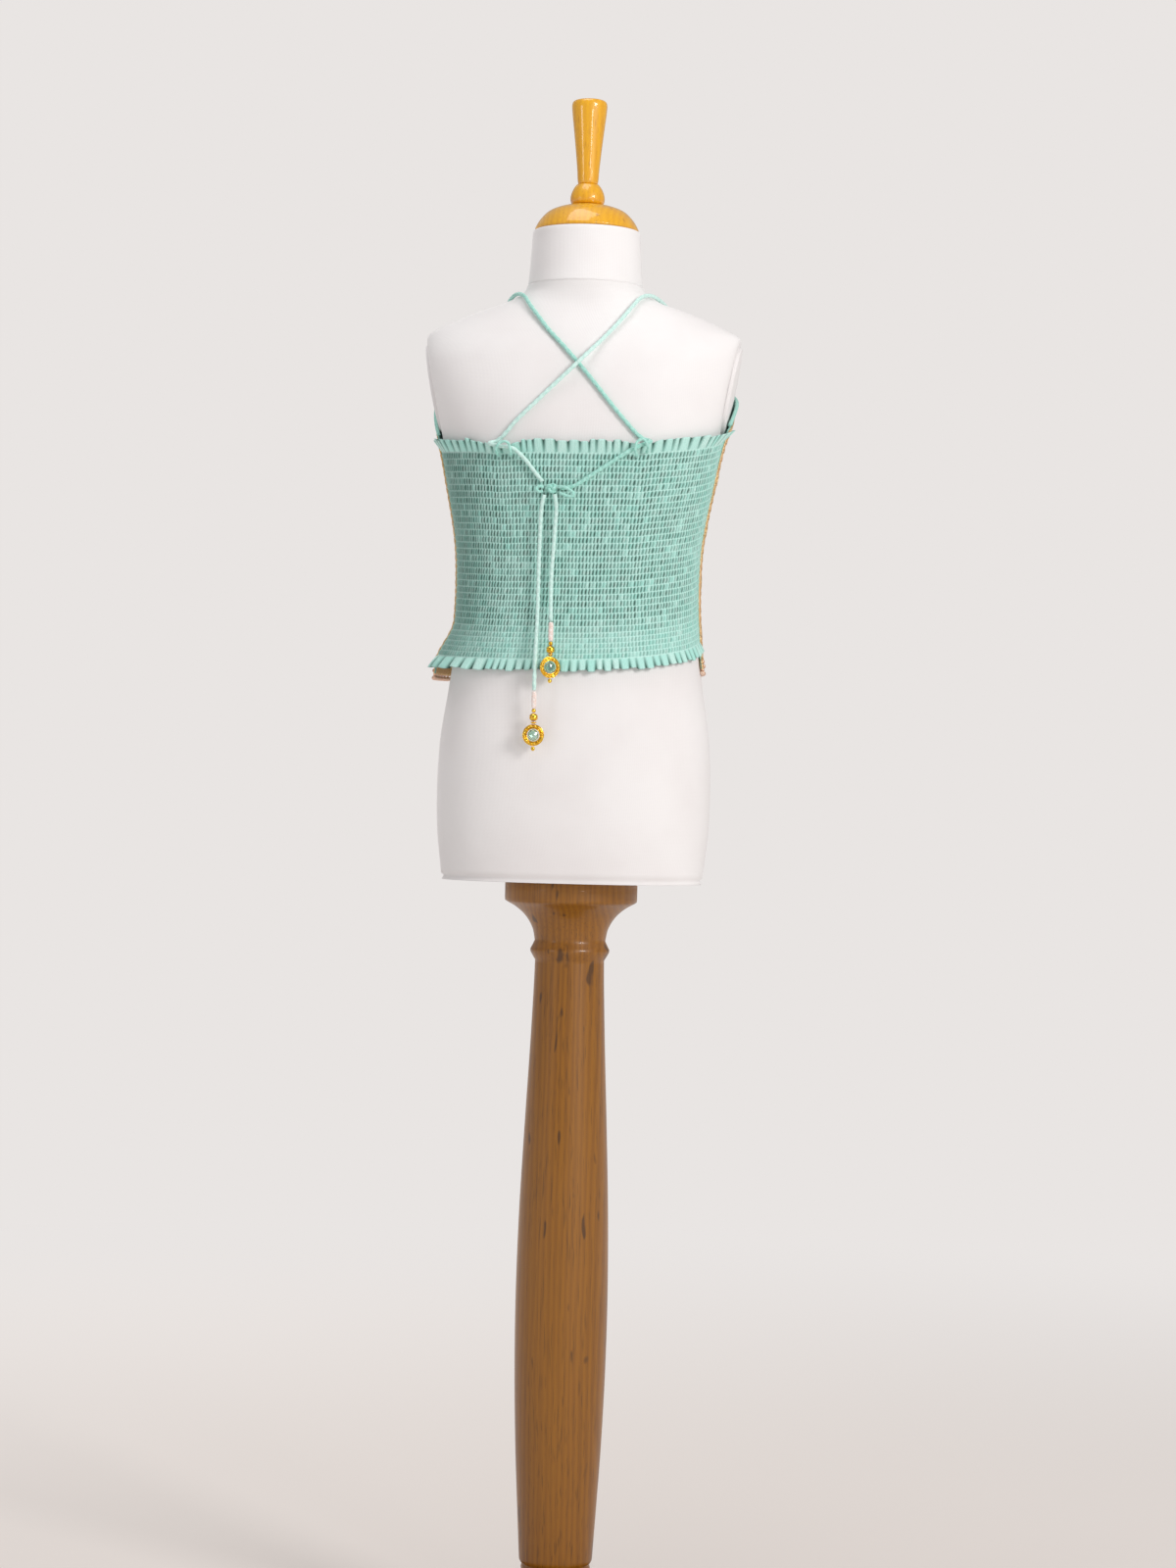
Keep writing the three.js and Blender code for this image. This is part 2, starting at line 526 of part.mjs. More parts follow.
function woodwork() {
  const cap = [[0, 1160.4], [41.6, 1160.4], [42.3, 1161.2], [41.6, 1163.4], [39.9, 1166.6],
    [36.7, 1171], [31, 1176.2], [21.2, 1180.2], [12, 1181.9], [0, 1182.2]];
  const ball = [[0, 1182.5], [12.6, 1182.5], [13.6, 1184.4], [14, 1187], [13.6, 1190.2],
    [12.4, 1193.6], [10.6, 1196.8], [9, 1198.7], [0, 1198.7]];
  const handle = [[0, 1199], [7.9, 1199], [9.2, 1213], [10.8, 1229], [12.6, 1245], [14.2, 1259.5],
    [14.35, 1263.5], [13.6, 1266], [11.6, 1267.3], [0, 1267.6]];
  const post = [[0, POST.bottom], [42, POST.bottom], [44, 28], [44, 34], [40, 38], [33, 42],
    [28.2, 49], [26.6, 58], [26.9, 66], [27.9, 69], [27.9, 72.4], [27, 74.2], [29.2, 75.8], [29.9, 79],
    [32.4, 122], [35, 170], [37, 230], [37.6, 290], [36.4, 360], [33.6, 430], [30.4, 500],
    [28.6, 548], [28.2, 566], [30.6, 570], [32.4, 574], [30.6, 578], [28.8, 582], [31, 592],
    [37, 602], [45, 609], [52, 613], [54, 616.4], [54, POST.top], [0, POST.top]];
  const { radius, height } = PLINTH;
  const plinth = [[0, 0], [radius - 2, 0], [radius, 2], [radius, 9], [radius - 1.6, 12],
    [radius - 6, 13.4], [radius - 7, 16], [radius - 11, 20.4], [radius - 18, 23.2],
    [radius - 26, height], [0, height]];
  add('neck_cap', turned(cap, 32), WOOD);
  add('finial_ball', turned(ball, 24), WOOD);
  add('finial_handle', turned(handle, 24), WOOD);
  add('stand_post', turned(post, 24), WOOD);
  add('stand_base', turned(plinth, 44), WOOD);
}

// ---- Assembly ------------------------------------------------------------------------------

add('back_panel', backPanel(), MINT);
frontPieces();
cords();
latkan('right', { x: 12.3, y: 90.4, wrapTop: 837, wrapBottom: 822, ballHeight: 815.3, ringHeight: 801.4,
  ringTurn: 28 });
latkan('left', { x: 24.3, y: 91.2, wrapTop: 782, wrapBottom: 768.8, ballHeight: 761.7, ringHeight: 747.6,
  ringTurn: 8 });
dressForm();
woodwork();

export default group;
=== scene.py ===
"""A child's choli blouse, back-tied, resting on a limbless dress form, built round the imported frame.

The blouse faces -Y and its shirred back faces +Y. A place round the body is a "turn" in degrees:
0 at the centre back, 90 at the wearer's right side (-X), 180 at the centre front. Shapes are
worked out in millimetres and put into metres when a mesh is made. Each cloth and cord carries a
vector attribute, "laid", that says where a point was in the flat cloth or the straight cord.
"""

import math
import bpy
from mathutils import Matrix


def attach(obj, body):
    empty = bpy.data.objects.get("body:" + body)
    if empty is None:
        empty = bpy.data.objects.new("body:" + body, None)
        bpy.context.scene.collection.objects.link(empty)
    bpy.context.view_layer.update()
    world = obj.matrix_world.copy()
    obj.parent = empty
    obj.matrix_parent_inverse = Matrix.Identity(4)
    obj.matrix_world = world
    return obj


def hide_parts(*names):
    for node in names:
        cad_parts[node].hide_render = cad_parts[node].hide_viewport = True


bl_info = {
    "name": "Choli on a Dress Form",
    "version": (1, 0, 0),
    "blender": (4, 5, 0),
    "location": "3D View > Sidebar > Choli",
    "description": "Builds a shirred, cord-tied choli blouse on a limbless dress form",
    "category": "Add Mesh",
}

import bmesh
import bpy
import numpy as np
from bpy.props import FloatProperty, FloatVectorProperty, IntProperty, PointerProperty
from mathutils import Matrix, Vector

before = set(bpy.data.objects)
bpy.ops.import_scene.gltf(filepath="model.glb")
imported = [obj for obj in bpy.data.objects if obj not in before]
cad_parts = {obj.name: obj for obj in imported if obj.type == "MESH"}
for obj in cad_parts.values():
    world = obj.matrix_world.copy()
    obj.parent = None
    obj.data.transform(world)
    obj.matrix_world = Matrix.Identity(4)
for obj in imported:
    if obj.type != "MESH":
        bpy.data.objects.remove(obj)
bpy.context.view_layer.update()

MM = 0.001
SEAM_TURN = 85.5        # side seams, in turns
FRONT_SEAM = SEAM_TURN + 0.35
TUCK = 0.3              # how far the front's edge is tucked under the back, in turns
FRONT_ENDS = (SEAM_TURN - TUCK, 360 - SEAM_TURN + TUCK)
FRINGE = 5.5            # the cloth's edge above the bead fringe's lowest point, at the front
CLOTH = 2.0             # wall of a panel in the frame

# Body sections: height, half width, depth behind and depth in front of the middle.
BODY = np.array([
    [630, 106, 76, 77], [680, 111, 80, 79], [740, 110, 81, 80], [790, 103, 77.5, 79],
    [830, 98.5, 72.5, 77], [868, 96.8, 69.5, 75.5], [907, 98.6, 71, 76.5], [955, 107.3, 75.5, 80],
    [985, 113.3, 77.5, 80.5], [1003, 119, 77.5, 79], [1025, 126.5, 74.5, 74.5],
    [1045, 132.5, 69.5, 66.5], [1060, 133.5, 64.5, 59], [1073.5, 128, 56, 51.5],
    [1083.5, 110, 50, 47.6], [1093.5, 86.5, 45.2, 45], [1100.5, 66, 43.6, 43.6],
    [1108, 51.5, 44.2, 44.2], [1115.3, 47, 46.2, 46.2],
])
ROUND_CHEST, ROUND_NECK = 2.3, 2.0      # 2 is an ellipse, more is squarer

HEAD_FRILL, HEM_FRILL = 10.5, 9.5
BACK_EASE, FRONT_EASE = 0.8, 0.9
# Where a strap presses the heading down: place across it, half width, depth.
DIPS = ((-0.47, 0.09, 5.5), (0.445, 0.065, 4.6))
ARM_ROOM = 5.4          # from the cut at an arm to the front's clear face
ARM_SOFT = 2.5          # a surface rounds in to the cut over this much either side of it
STRAP_TURN, STRAP_HEIGHT, NECK_HEIGHT = 50.0, 1046.0, 1004.0

# Cord routes, in millimetres, from the front over the shoulder and down to the knot.
STRAP_RIGHT = [
    (-71.8, -61.6, 1046.5), (-72, -59.2, 1051.5), (-72.3, -55.8, 1058), (-72.4, -49.9, 1069),
    (-71.7, -43.1, 1079.5), (-70.2, -33.8, 1090.8), (-67.3, -22, 1099), (-64, -10, 1103.2),
    (-60.3, 2, 1105.3),
    (-56.1, 13.4, 1106.5), (-51.8, 24, 1105.4), (-47.3, 34.7, 1101.3), (-42.1, 44.1, 1093.3),
    (-32.9, 53.8, 1080), (-21.6, 64.1, 1065.6), (-11.2, 72, 1053.8), (-2.3, 76.3, 1044.2),
    (8.6, 77, 1033.5), (20.1, 77.2, 1022.4), (29.2, 77.5, 1013.4), (38.3, 77.2, 1004.6),
    (46.5, 75.8, 996.6), (53, 73.9, 989), (58.2, 72, 983.6), (61.4, 71.1, 981.6), (64, 71.2, 980.6),
    (66.1, 72.4, 980), (66.7, 74.3, 979.4), (65.8, 76, 978.8), (63.6, 77, 978.1), (60, 77.4, 977.3),
    (56, 78.3, 976.5), (51.2, 79.4, 976.2), (47, 80.1, 974.9), (42.2, 80.1, 971.4), (36.4, 79.5, 965.6),
    (31, 79.4, 958.8), (26.2, 79.8, 952.9), (22.8, 80.6, 949),
]
STRAP_LEFT = [
    (71.8, -61.6, 1046.5), (72, -59.2, 1051.5), (72.3, -55.8, 1058), (72.4, -49.9, 1069),
    (71.7, -43.1, 1079.5), (70.2, -33.8, 1090.8), (67.3, -22, 1099), (64, -10, 1103.2),
    (60.3, 2, 1105.3),
    (55.8, 13.4, 1106.6), (50.8, 24, 1105.8), (45.5, 34.7, 1102), (39.6, 44.3, 1093.5),
    (31.8, 51.7, 1083.5), (23.3, 58.5, 1072.8), (10.5, 67.3, 1059.2), (-2.3, 71.9, 1045),
    (-15.1, 75.6, 1030), (-27.2, 77.5, 1015.2), (-37.8, 77.4, 1002.6), (-46, 75.9, 993.4),
    (-51.6, 74.4, 987.6), (-55.6, 73.4, 984.9), (-58.4, 73.2, 983.8), (-60.7, 73.8, 983.2),
    (-62.1, 75.2, 982.7), (-62.1, 76.8, 982.2), (-60.8, 78.1, 981.4), (-58.4, 78.8, 980.4),
    (-55, 79.1, 979.2), (-51, 79.4, 977.2), (-44.4, 79.8, 973.6), (-37.6, 79.7, 969.2),
    (-30.1, 79.6, 964.3), (-21.6, 79.9, 958.6), (-13.3, 80, 953), (-6.6, 79.9, 948.4),
    (-1, 79.9, 945.4), (4, 80.1, 944.2), (8, 80.4, 944),
]
# From the knot over the back and the hem frill, then straight down to the wrapped ends.
TAIL_RIGHT = [
    (12.4, 85.8, 938.6), (11.4, 85.2, 934), (11, 82.6, 926), (12, 80, 912), (13, 78.6, 895),
    (14, 78.4, 878), (14, 79.6, 862), (13.4, 83.4, 848.6), (12.7, 87.4, 838),
]
TAIL_LEFT = [
    (20.6, 84.6, 938), (22, 84, 933), (23, 81.6, 925), (23.8, 79.6, 910), (24.2, 78.2, 895),
    (24.4, 77.6, 878), (24.4, 77.8, 862), (24.4, 79.2, 846), (24.4, 82.4, 830), (24.4, 86.4, 815),
    (24.4, 89.6, 800), (24.4, 90.6, 792), (24.4, 91, 783),
]
BOW_RIGHT = [
    (9.6, 84.8, 944.4), (5.6, 85.8, 944.4), (1.2, 86.1, 942.6), (-2.4, 86.1, 939.8), (-2.2, 86, 937.2),
    (1.4, 85.9, 937.2), (5.4, 85.8, 938.6), (8.8, 85.6, 939.6),
]
BOW_LEFT = [
    (21.6, 83.8, 944), (24, 84.8, 944.8), (26.4, 85.1, 943.8), (26.8, 85.1, 941.6), (24.8, 85, 940.4),
    (22, 84.6, 941.2),
]
# Small rouleau loops, sewn by both ends to the heading's face, that hold the straps down.
LOOP_LEFT = [
    (59, 73, 969.4), (60.4, 76.6, 971.2), (60.8, 81, 974), (59, 82.9, 977.4), (55.4, 83, 980),
    (51.6, 83.4, 979.6), (49.6, 83.9, 977.2), (49, 84, 974.2), (48.8, 82, 971), (49.2, 76.2, 969),
]
LOOP_RIGHT = [
    (-58.8, 74.2, 973.4), (-60.2, 78.4, 975.6), (-59.8, 82.6, 979.6), (-56.8, 82.8, 983.2),
    (-53.6, 83, 982.8), (-51.2, 83.6, 979.8), (-50.6, 83.6, 976), (-50.8, 81.6, 972.6),
    (-51.6, 75.8, 970.2),
]
KNOT_RADIUS, BOW_RADIUS, LOOP_RADIUS, PIPING_RADIUS = 1.45, 1.3, 1.2, 1.55


# ---- Shared helpers ---------------------------------------------------------------------------

def linear(colour):
    """An sRGB hex colour as linear red, green and blue."""
    values = [int(colour[i:i + 2], 16) / 255 for i in (1, 3, 5)]
    return tuple(v / 12.92 if v <= 0.04045 else ((v + 0.055) / 1.055) ** 2.4 for v in values)


def smooth(start, end, value):
    """0 at start, 1 at end and beyond, with an easy start and finish; end may be the lower."""
    t = np.clip((value - start) / (end - start), 0, 1)
    return t * t * (3 - 2 * t)


def hump(centre, width, value):
    """A soft bump of height 1."""
    return np.exp(-(((value - centre) / width) ** 2))


def section(height):
    """Half width, back depth and front depth at each height, on a smooth curve through BODY."""
    z = np.clip(height, BODY[0, 0], BODY[-1, 0])
    i = np.clip(np.searchsorted(BODY[:, 0], z) - 1, 0, len(BODY) - 2)
    a, b = BODY[i], BODY[i + 1]
    before, after = BODY[np.maximum(i - 1, 0)], BODY[np.minimum(i + 2, len(BODY) - 1)]
    span = (b - a)[..., :1]
    t = (np.asarray(z)[..., None] - a[..., :1]) / span
    start = (b - before) / (b - before)[..., :1]
    end = (after - a) / (after - a)[..., :1]
    curve = ((2 * t ** 3 - 3 * t ** 2 + 1) * a + (t ** 3 - 2 * t ** 2 + t) * span * start
             + (3 * t ** 2 - 2 * t ** 3) * b + (t ** 3 - t ** 2) * span * end)
    return curve[..., 1], curve[..., 2], curve[..., 3]


def body_point(turn, height, out):
    """Points at turns and heights, moved out level from the body."""
    turn, height, out = np.broadcast_arrays(turn, height, out)
    half, back, front = section(height)
    power = ROUND_CHEST + (ROUND_NECK - ROUND_CHEST) * smooth(1050, 1100, height)

    def level(angle):
        depth = np.where(np.cos(angle) > 0, back, front)
        reach = ((np.abs(np.sin(angle)) / half) ** power
                 + (np.abs(np.cos(angle)) / depth) ** power) ** (-1 / power)
        return -np.sin(angle) * reach, np.cos(angle) * reach

    angle = np.radians(turn)
    step = 0.004
    x, y = level(angle)
    ahead, behind = level(angle + step), level(angle - step)
    along_x, along_y = ahead[0] - behind[0], ahead[1] - behind[1]
    length = np.hypot(along_x, along_y)
    return np.stack([x + along_y / length * out, y - along_x / length * out, height], axis=-1)


def turns_by_distance(first, last, height=900.0):
    """Turns along the body at a height, and the distance round to each, for np.interp."""
    turns = np.linspace(first, last, 721)
    points = body_point(turns, height, CLOTH)[:, :2]
    steps = np.hypot(*np.diff(points, axis=0).T)
    return turns, np.concatenate([[0], np.cumsum(steps)])


def mesh_object(name, points, faces, laid=None, folds=None):
    """An object from points in millimetres; laid and folds are its point attributes."""
    mesh = bpy.data.meshes.new(name)
    mesh.from_pydata((np.asarray(points, float).reshape(-1, 3) * MM).tolist(), [], faces)
    mesh.shade_smooth()
    obj = bpy.data.objects.new(name, mesh)
    bpy.context.scene.collection.objects.link(obj)
    if laid is not None:
        attribute = mesh.attributes.new("laid", "FLOAT_VECTOR", "POINT")
        attribute.data.foreach_set("vector", np.asarray(laid, np.float32).ravel())
    if folds is not None:
        attribute = mesh.attributes.new("folds", "FLOAT_COLOR", "POINT")
        attribute.data.foreach_set("color", np.asarray(folds, np.float32).ravel())
    return obj


def finish(obj, material, slot, *nodes):
    """Gives a piece its material, and puts it in the place of CAD nodes; the slot is not used."""
    obj.data.materials.clear()
    obj.data.materials.append(material)
    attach(obj, "root")
    if nodes:
        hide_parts(*nodes)
    return obj


def side_strip(outer, inner, heights_outer, heights_inner, flip):
    """Triangles between two columns of points that have different numbers of rows."""
    faces = []
    i = j = 0
    while i < len(outer) - 1 or j < len(inner) - 1:
        go_outer = j == len(inner) - 1 or (
            i < len(outer) - 1 and heights_outer[i + 1] <= heights_inner[j + 1])
        if go_outer:
            face = (outer[i], outer[i + 1], inner[j])
            i += 1
        else:
            face = (outer[i], inner[j + 1], inner[j])
            j += 1
        faces.append(face[::-1] if flip else face)
    return faces


def shell(outer, inner):
    """Points and faces of a thin closed sheet between two grids [row, column] of points.

    Rows go up and columns go round with the turn, and both grids have the same columns.
    """
    rows, columns = outer.shape[:2]
    inner_rows = inner.shape[0]
    a = np.arange(rows * columns).reshape(rows, columns)
    b = rows * columns + np.arange(inner_rows * columns).reshape(inner_rows, columns)
    faces = np.stack([a[:-1, :-1], a[:-1, 1:], a[1:, 1:], a[1:, :-1]], -1).reshape(-1, 4).tolist()
    faces += np.stack([b[:-1, :-1], b[1:, :-1], b[1:, 1:], b[:-1, 1:]], -1).reshape(-1, 4).tolist()
    faces += np.stack([a[0, :-1], b[0, :-1], b[0, 1:], a[0, 1:]], -1).tolist()
    faces += np.stack([a[-1, :-1], a[-1, 1:], b[-1, 1:], b[-1, :-1]], -1).tolist()
    faces += side_strip(a[:, 0], b[:, 0], outer[:, 0, 2], inner[:, 0, 2], False)
    faces += side_strip(a[:, -1], b[:, -1], outer[:, -1, 2], inner[:, -1, 2], True)
    points = np.concatenate([outer.reshape(-1, 3), inner.reshape(-1, 3)])
    return points, [tuple(int(n) for n in face) for face in faces]


def smooth_route(route, spacing):
    """Evenly spaced points on a centripetal curve through a route."""
    p = np.array(route, float)
    p = np.vstack([2 * p[0] - p[1], p, 2 * p[-1] - p[-2]])
    dense = []
    for a, b, c, d in zip(p, p[1:], p[2:], p[3:]):
        first, middle, last = (math.sqrt(np.linalg.norm(q - r)) for q, r in ((b, a), (c, b), (d, c)))
        leave = ((b - a) / first - (c - a) / (first + middle) + (c - b) / middle) * middle
        arrive = ((c - b) / middle - (d - b) / (middle + last) + (d - c) / last) * middle
        t = np.linspace(0, 1, 24, endpoint=False)[:, None]
        dense.append((2 * t ** 3 - 3 * t ** 2 + 1) * b + (t ** 3 - 2 * t ** 2 + t) * leave
                     + (3 * t ** 2 - 2 * t ** 3) * c + (t ** 3 - t ** 2) * arrive)
    dense = np.vstack(dense + [p[-2:-1]])
    along = np.concatenate([[0], np.cumsum(np.linalg.norm(np.diff(dense, axis=0), axis=1))])
    count = max(3, int(round(along[-1] / spacing)) + 1)
    even = np.linspace(0, along[-1], count)
    return np.stack([np.interp(even, along, dense[:, k]) for k in range(3)], -1), even


def tube(path, radius, sides, closed=False, first_normal=(0.0, 0.0, 1.0)):
    """Points, faces and straightened places of a tube round a path; radius is (ring, angle) -> mm."""
    path = np.asarray(path, float)
    count = len(path)
    if closed:
        tangent = np.roll(path, -1, 0) - np.roll(path, 1, 0)
    else:
        tangent = np.gradient(path, axis=0)
    tangent /= np.linalg.norm(tangent, axis=1)[:, None]
    normal = np.array(first_normal, float)
    normals = []
    for t in tangent:
        normal = normal - t * (normal @ t)
        normal /= np.linalg.norm(normal)
        normals.append(normal)
    normals = np.array(normals)
    twist = 0.0
    if closed:      # the frame that comes back round is turned into the first one bit by bit
        end = normals[-1] - tangent[0] * (normals[-1] @ tangent[0])
        twist = math.atan2(np.cross(end, normals[0]) @ tangent[0], end @ normals[0])
    binormals = np.cross(tangent, normals)
    angle = np.arange(sides) / sides * 2 * math.pi
    turned = angle[None, :] + (np.arange(count) / count * twist)[:, None]
    size = np.broadcast_to(radius(np.arange(count)[:, None], angle[None, :]), (count, sides))
    points = (path[:, None] + normals[:, None] * (np.cos(turned) * size)[..., None]
              + binormals[:, None] * (np.sin(turned) * size)[..., None])
    along = np.concatenate([[0], np.cumsum(np.linalg.norm(np.diff(path, axis=0), axis=1))])
    laid = np.stack([np.cos(angle)[None] * size, np.sin(angle)[None] * size,
                     np.broadcast_to(along[:, None], (count, sides))], -1)
    ring = np.arange(count * sides).reshape(count, sides)
    rings = np.vstack([ring, ring[:1]]) if closed else ring
    a, b = rings[:-1], rings[1:]
    faces = np.stack([a, np.roll(a, -1, 1), np.roll(b, -1, 1), b], -1).reshape(-1, 4)
    faces = [tuple(int(n) for n in f) for f in faces]
    if not closed:
        faces += [tuple(int(n) for n in ring[0][::-1]), tuple(int(n) for n in ring[-1])]
    return points.reshape(-1, 3), faces, laid.reshape(-1, 3)


def join(parts):
    """Points, faces and straightened places of many shapes as one."""
    points, faces, laid, start = [], [], [], 0
    for part in parts:
        points.append(np.asarray(part[0], float))
        laid.append(np.asarray(part[2] if len(part) > 2 else part[0], float))
        faces += [tuple(n + start for n in face) for face in part[1]]
        start += len(part[0])
    return np.concatenate(points), faces, np.concatenate(laid)


def deselect():
    """Leaves edit mode and deselects everything."""
    if bpy.context.object and bpy.context.object.mode != "OBJECT":
        bpy.ops.object.mode_set(mode="OBJECT")
    bpy.ops.object.select_all(action="DESELECT")


def settle(name):
    """Names the active object and puts its place, turn and size into its mesh."""
    obj = bpy.context.object
    obj.name = obj.data.name = name
    bpy.ops.object.transform_apply(location=True, rotation=True, scale=True)
    obj.data.shade_smooth()
    return obj


def outline(*runs, spacing=0.8):
    """A turned outline from smooth runs of (radius, height) that meet at sharp corners."""
    points = []
    for run in runs:
        if len(run) == 2:
            sweep = np.linspace(run[0], run[1], 3)
        else:
            route = smooth_route([(r, 0, z) for r, z in run], spacing)[0]
            sweep = route[:, (0, 2)]
        points += sweep[1 if points else 0:].tolist()
    return [(max(r, 0.0), z) for r, z in points]


def spun(name, profile, centre=(0.0, 0.0), steps=96):
    """A turned piece: the outline's edges spun once round an upright axis."""
    deselect()
    mesh = bpy.data.meshes.new(name)
    x, y = centre
    points = [((x + r) * MM, y * MM, z * MM) for r, z in profile]
    mesh.from_pydata(points, [(i, i + 1) for i in range(len(points) - 1)], [])
    obj = bpy.data.objects.new(name, mesh)
    bpy.context.scene.collection.objects.link(obj)
    bpy.context.view_layer.objects.active = obj
    obj.select_set(True)
    bpy.ops.object.mode_set(mode="EDIT")
    bpy.ops.mesh.select_all(action="SELECT")
    bpy.ops.mesh.spin(steps=steps, angle=2 * math.pi, center=(x * MM, y * MM, 0), axis=(0, 0, 1))
    bpy.ops.mesh.select_all(action="SELECT")
    bpy.ops.mesh.remove_doubles(threshold=0.00001)
    bpy.ops.mesh.normals_make_consistent(inside=False)
    bpy.ops.object.mode_set(mode="OBJECT")
    obj.data.shade_smooth()
    return obj


def soft_ball(name, centre, radii, segments=32, rings=20, turn=0.0):
    """A rounded bead, made from a sphere stretched to its half sizes."""
    deselect()
    bpy.ops.mesh.primitive_uv_sphere_add(
        segments=segments, ring_count=rings, radius=1, location=Vector(centre) * MM,
        rotation=(0, 0, math.radians(turn)), scale=Vector(radii) * MM)
    return settle(name)


# ---- Materials --------------------------------------------------------------------------------

def node(tree, kind, inputs=None, **settings):
    """Adds a node; each input takes a value or another node's output."""
    made = tree.nodes.new(kind)
    for name, value in settings.items():
        setattr(made, name, value)
    for socket, value in (inputs or {}).items():
        if isinstance(value, bpy.types.NodeSocket):
            tree.links.new(value, made.inputs[socket])
        else:
            made.inputs[socket].default_value = value
    return made


def blank(name, **constants):
    """A material with a Principled shader whose constant values are set on its own sockets."""
    material = bpy.data.materials.new(name)
    material.use_nodes = True
    tree = material.node_tree
    shader = tree.nodes["Principled BSDF"]
    for socket, value in constants.items():
        shader.inputs[socket.replace("_", " ")].default_value = value
    return material, tree, shader


def rgba(colour):
    return (*linear(colour), 1.0)


def noise(tree, vector, scale, detail=3.0, roughness=0.5):
    """A noise pattern's value over a vector."""
    made = node(tree, "ShaderNodeTexNoise",
                {"Vector": vector, "Scale": scale, "Detail": detail, "Roughness": roughness})
    return made.outputs["Fac"]


def stretch(tree, vector, scale):
    """A vector with its three parts scaled."""
    return node(tree, "ShaderNodeMapping", {"Vector": vector, "Scale": scale}).outputs[0]


def blend_colour(tree, factor, a, b, **settings):
    """Two colours mixed by a factor."""
    made = node(tree, "ShaderNodeMix", {0: factor, 6: a, 7: b}, data_type="RGBA", **settings)
    return made.outputs[2]


def spread_range(tree, value, low, high, to_low=0.0, to_high=1.0):
    """A value moved from one range to another, and held inside it."""
    made = node(tree, "ShaderNodeMapRange", {"Value": value, "From Min": low, "From Max": high,
                                             "To Min": to_low, "To Max": to_high})
    return made.outputs[0]


def laid_place(tree):
    """Where a point lies in the flat cloth or the straight cord, in millimetres."""
    return node(tree, "ShaderNodeAttribute", attribute_name="laid").outputs["Vector"]


def bumped(tree, shader, height, distance, strength=1.0):
    """Feeds a height in to the shader as a bump; distance is in metres."""
    made = node(tree, "ShaderNodeBump",
                {"Height": height, "Distance": distance, "Strength": strength})
    tree.links.new(made.outputs[0], shader.inputs["Normal"])


def shirred_cloth():
    """Crinkled viscose silk, piece dyed mint: soft sheen, with painted deep green shade where pleats shade
    it.
    """
    material, tree, shader = blank("shirred_mint_viscose", Roughness=0.62, Sheen_Weight=0.22,
                                   Sheen_Roughness=0.4, IOR=1.46)
    laid = laid_place(tree)
    folds = node(tree, "ShaderNodeAttribute", attribute_name="folds")
    parts = node(tree, "ShaderNodeSeparateColor", {"Color": folds.outputs["Color"]})
    depth, thread, pucker = parts.outputs
    patches = spread_range(tree, noise(tree, stretch(tree, laid, (0.03, 0.05, 1)), 1.0), 0.35, 0.65)
    slub = spread_range(tree, noise(tree, stretch(tree, laid, (1.1, 2.6, 1)), 1.0, 4), 0.3, 0.7)
    mint = blend_colour(tree, patches, rgba("#B0ECE2"), rgba("#C4F1EA"))
    mint = blend_colour(tree, pucker, mint, rgba("#E8FCF8"))
    mint = blend_colour(tree, slub, mint, rgba("#97D8CA"))
    pale = blend_colour(tree, thread, mint, rgba("#D2F3EC"))
    # Painted shade: the depth channel darkens the cloth to deep green in the gaps between puckers and
    # pleats, towards the wearer's left and on the inner face.
    shade = blend_colour(tree, depth, pale, rgba("#04402F"))
    tree.links.new(shade, shader.inputs["Base Color"])
    bumped(tree, shader, noise(tree, stretch(tree, laid, (1.6, 0.9, 1)), 1.0, 5), 0.0005, 0.7)
    return material


def panel_cloth():
    """Flat dupion in the same mint: slubs run across it and it shines a little along them."""
    material, tree, shader = blank("mint_dupion", Roughness=0.5, Sheen_Weight=0.3,
                                   Sheen_Roughness=0.35, IOR=1.46)
    laid = laid_place(tree)
    slub = spread_range(tree, noise(tree, stretch(tree, laid, (0.12, 1.7, 1)), 1.0, 5), 0.35, 0.7)
    patches = spread_range(tree, noise(tree, stretch(tree, laid, (0.025, 0.02, 1)), 1.0), 0.3, 0.7)
    mint = blend_colour(tree, patches, rgba("#A0DED2"), rgba("#B8E8DE"))
    mint = blend_colour(tree, slub, mint, rgba("#84CDBD"))
    tree.links.new(mint, shader.inputs["Base Color"])
    # Weft threads at 0.9 mm, coarser than the real 0.3 mm so that they show.
    weft = node(tree, "ShaderNodeTexWave", {"Vector": stretch(tree, laid, (0.02, 1.1, 1)), "Scale": 1.0,
                                            "Distortion": 1.6, "Detail": 2.0}, bands_direction="Y")
    both = node(tree, "ShaderNodeMath", {0: weft.outputs["Fac"], 1: slub}, operation="ADD")
    bumped(tree, shader, both.outputs[0], 0.00025, 0.6)
    return material


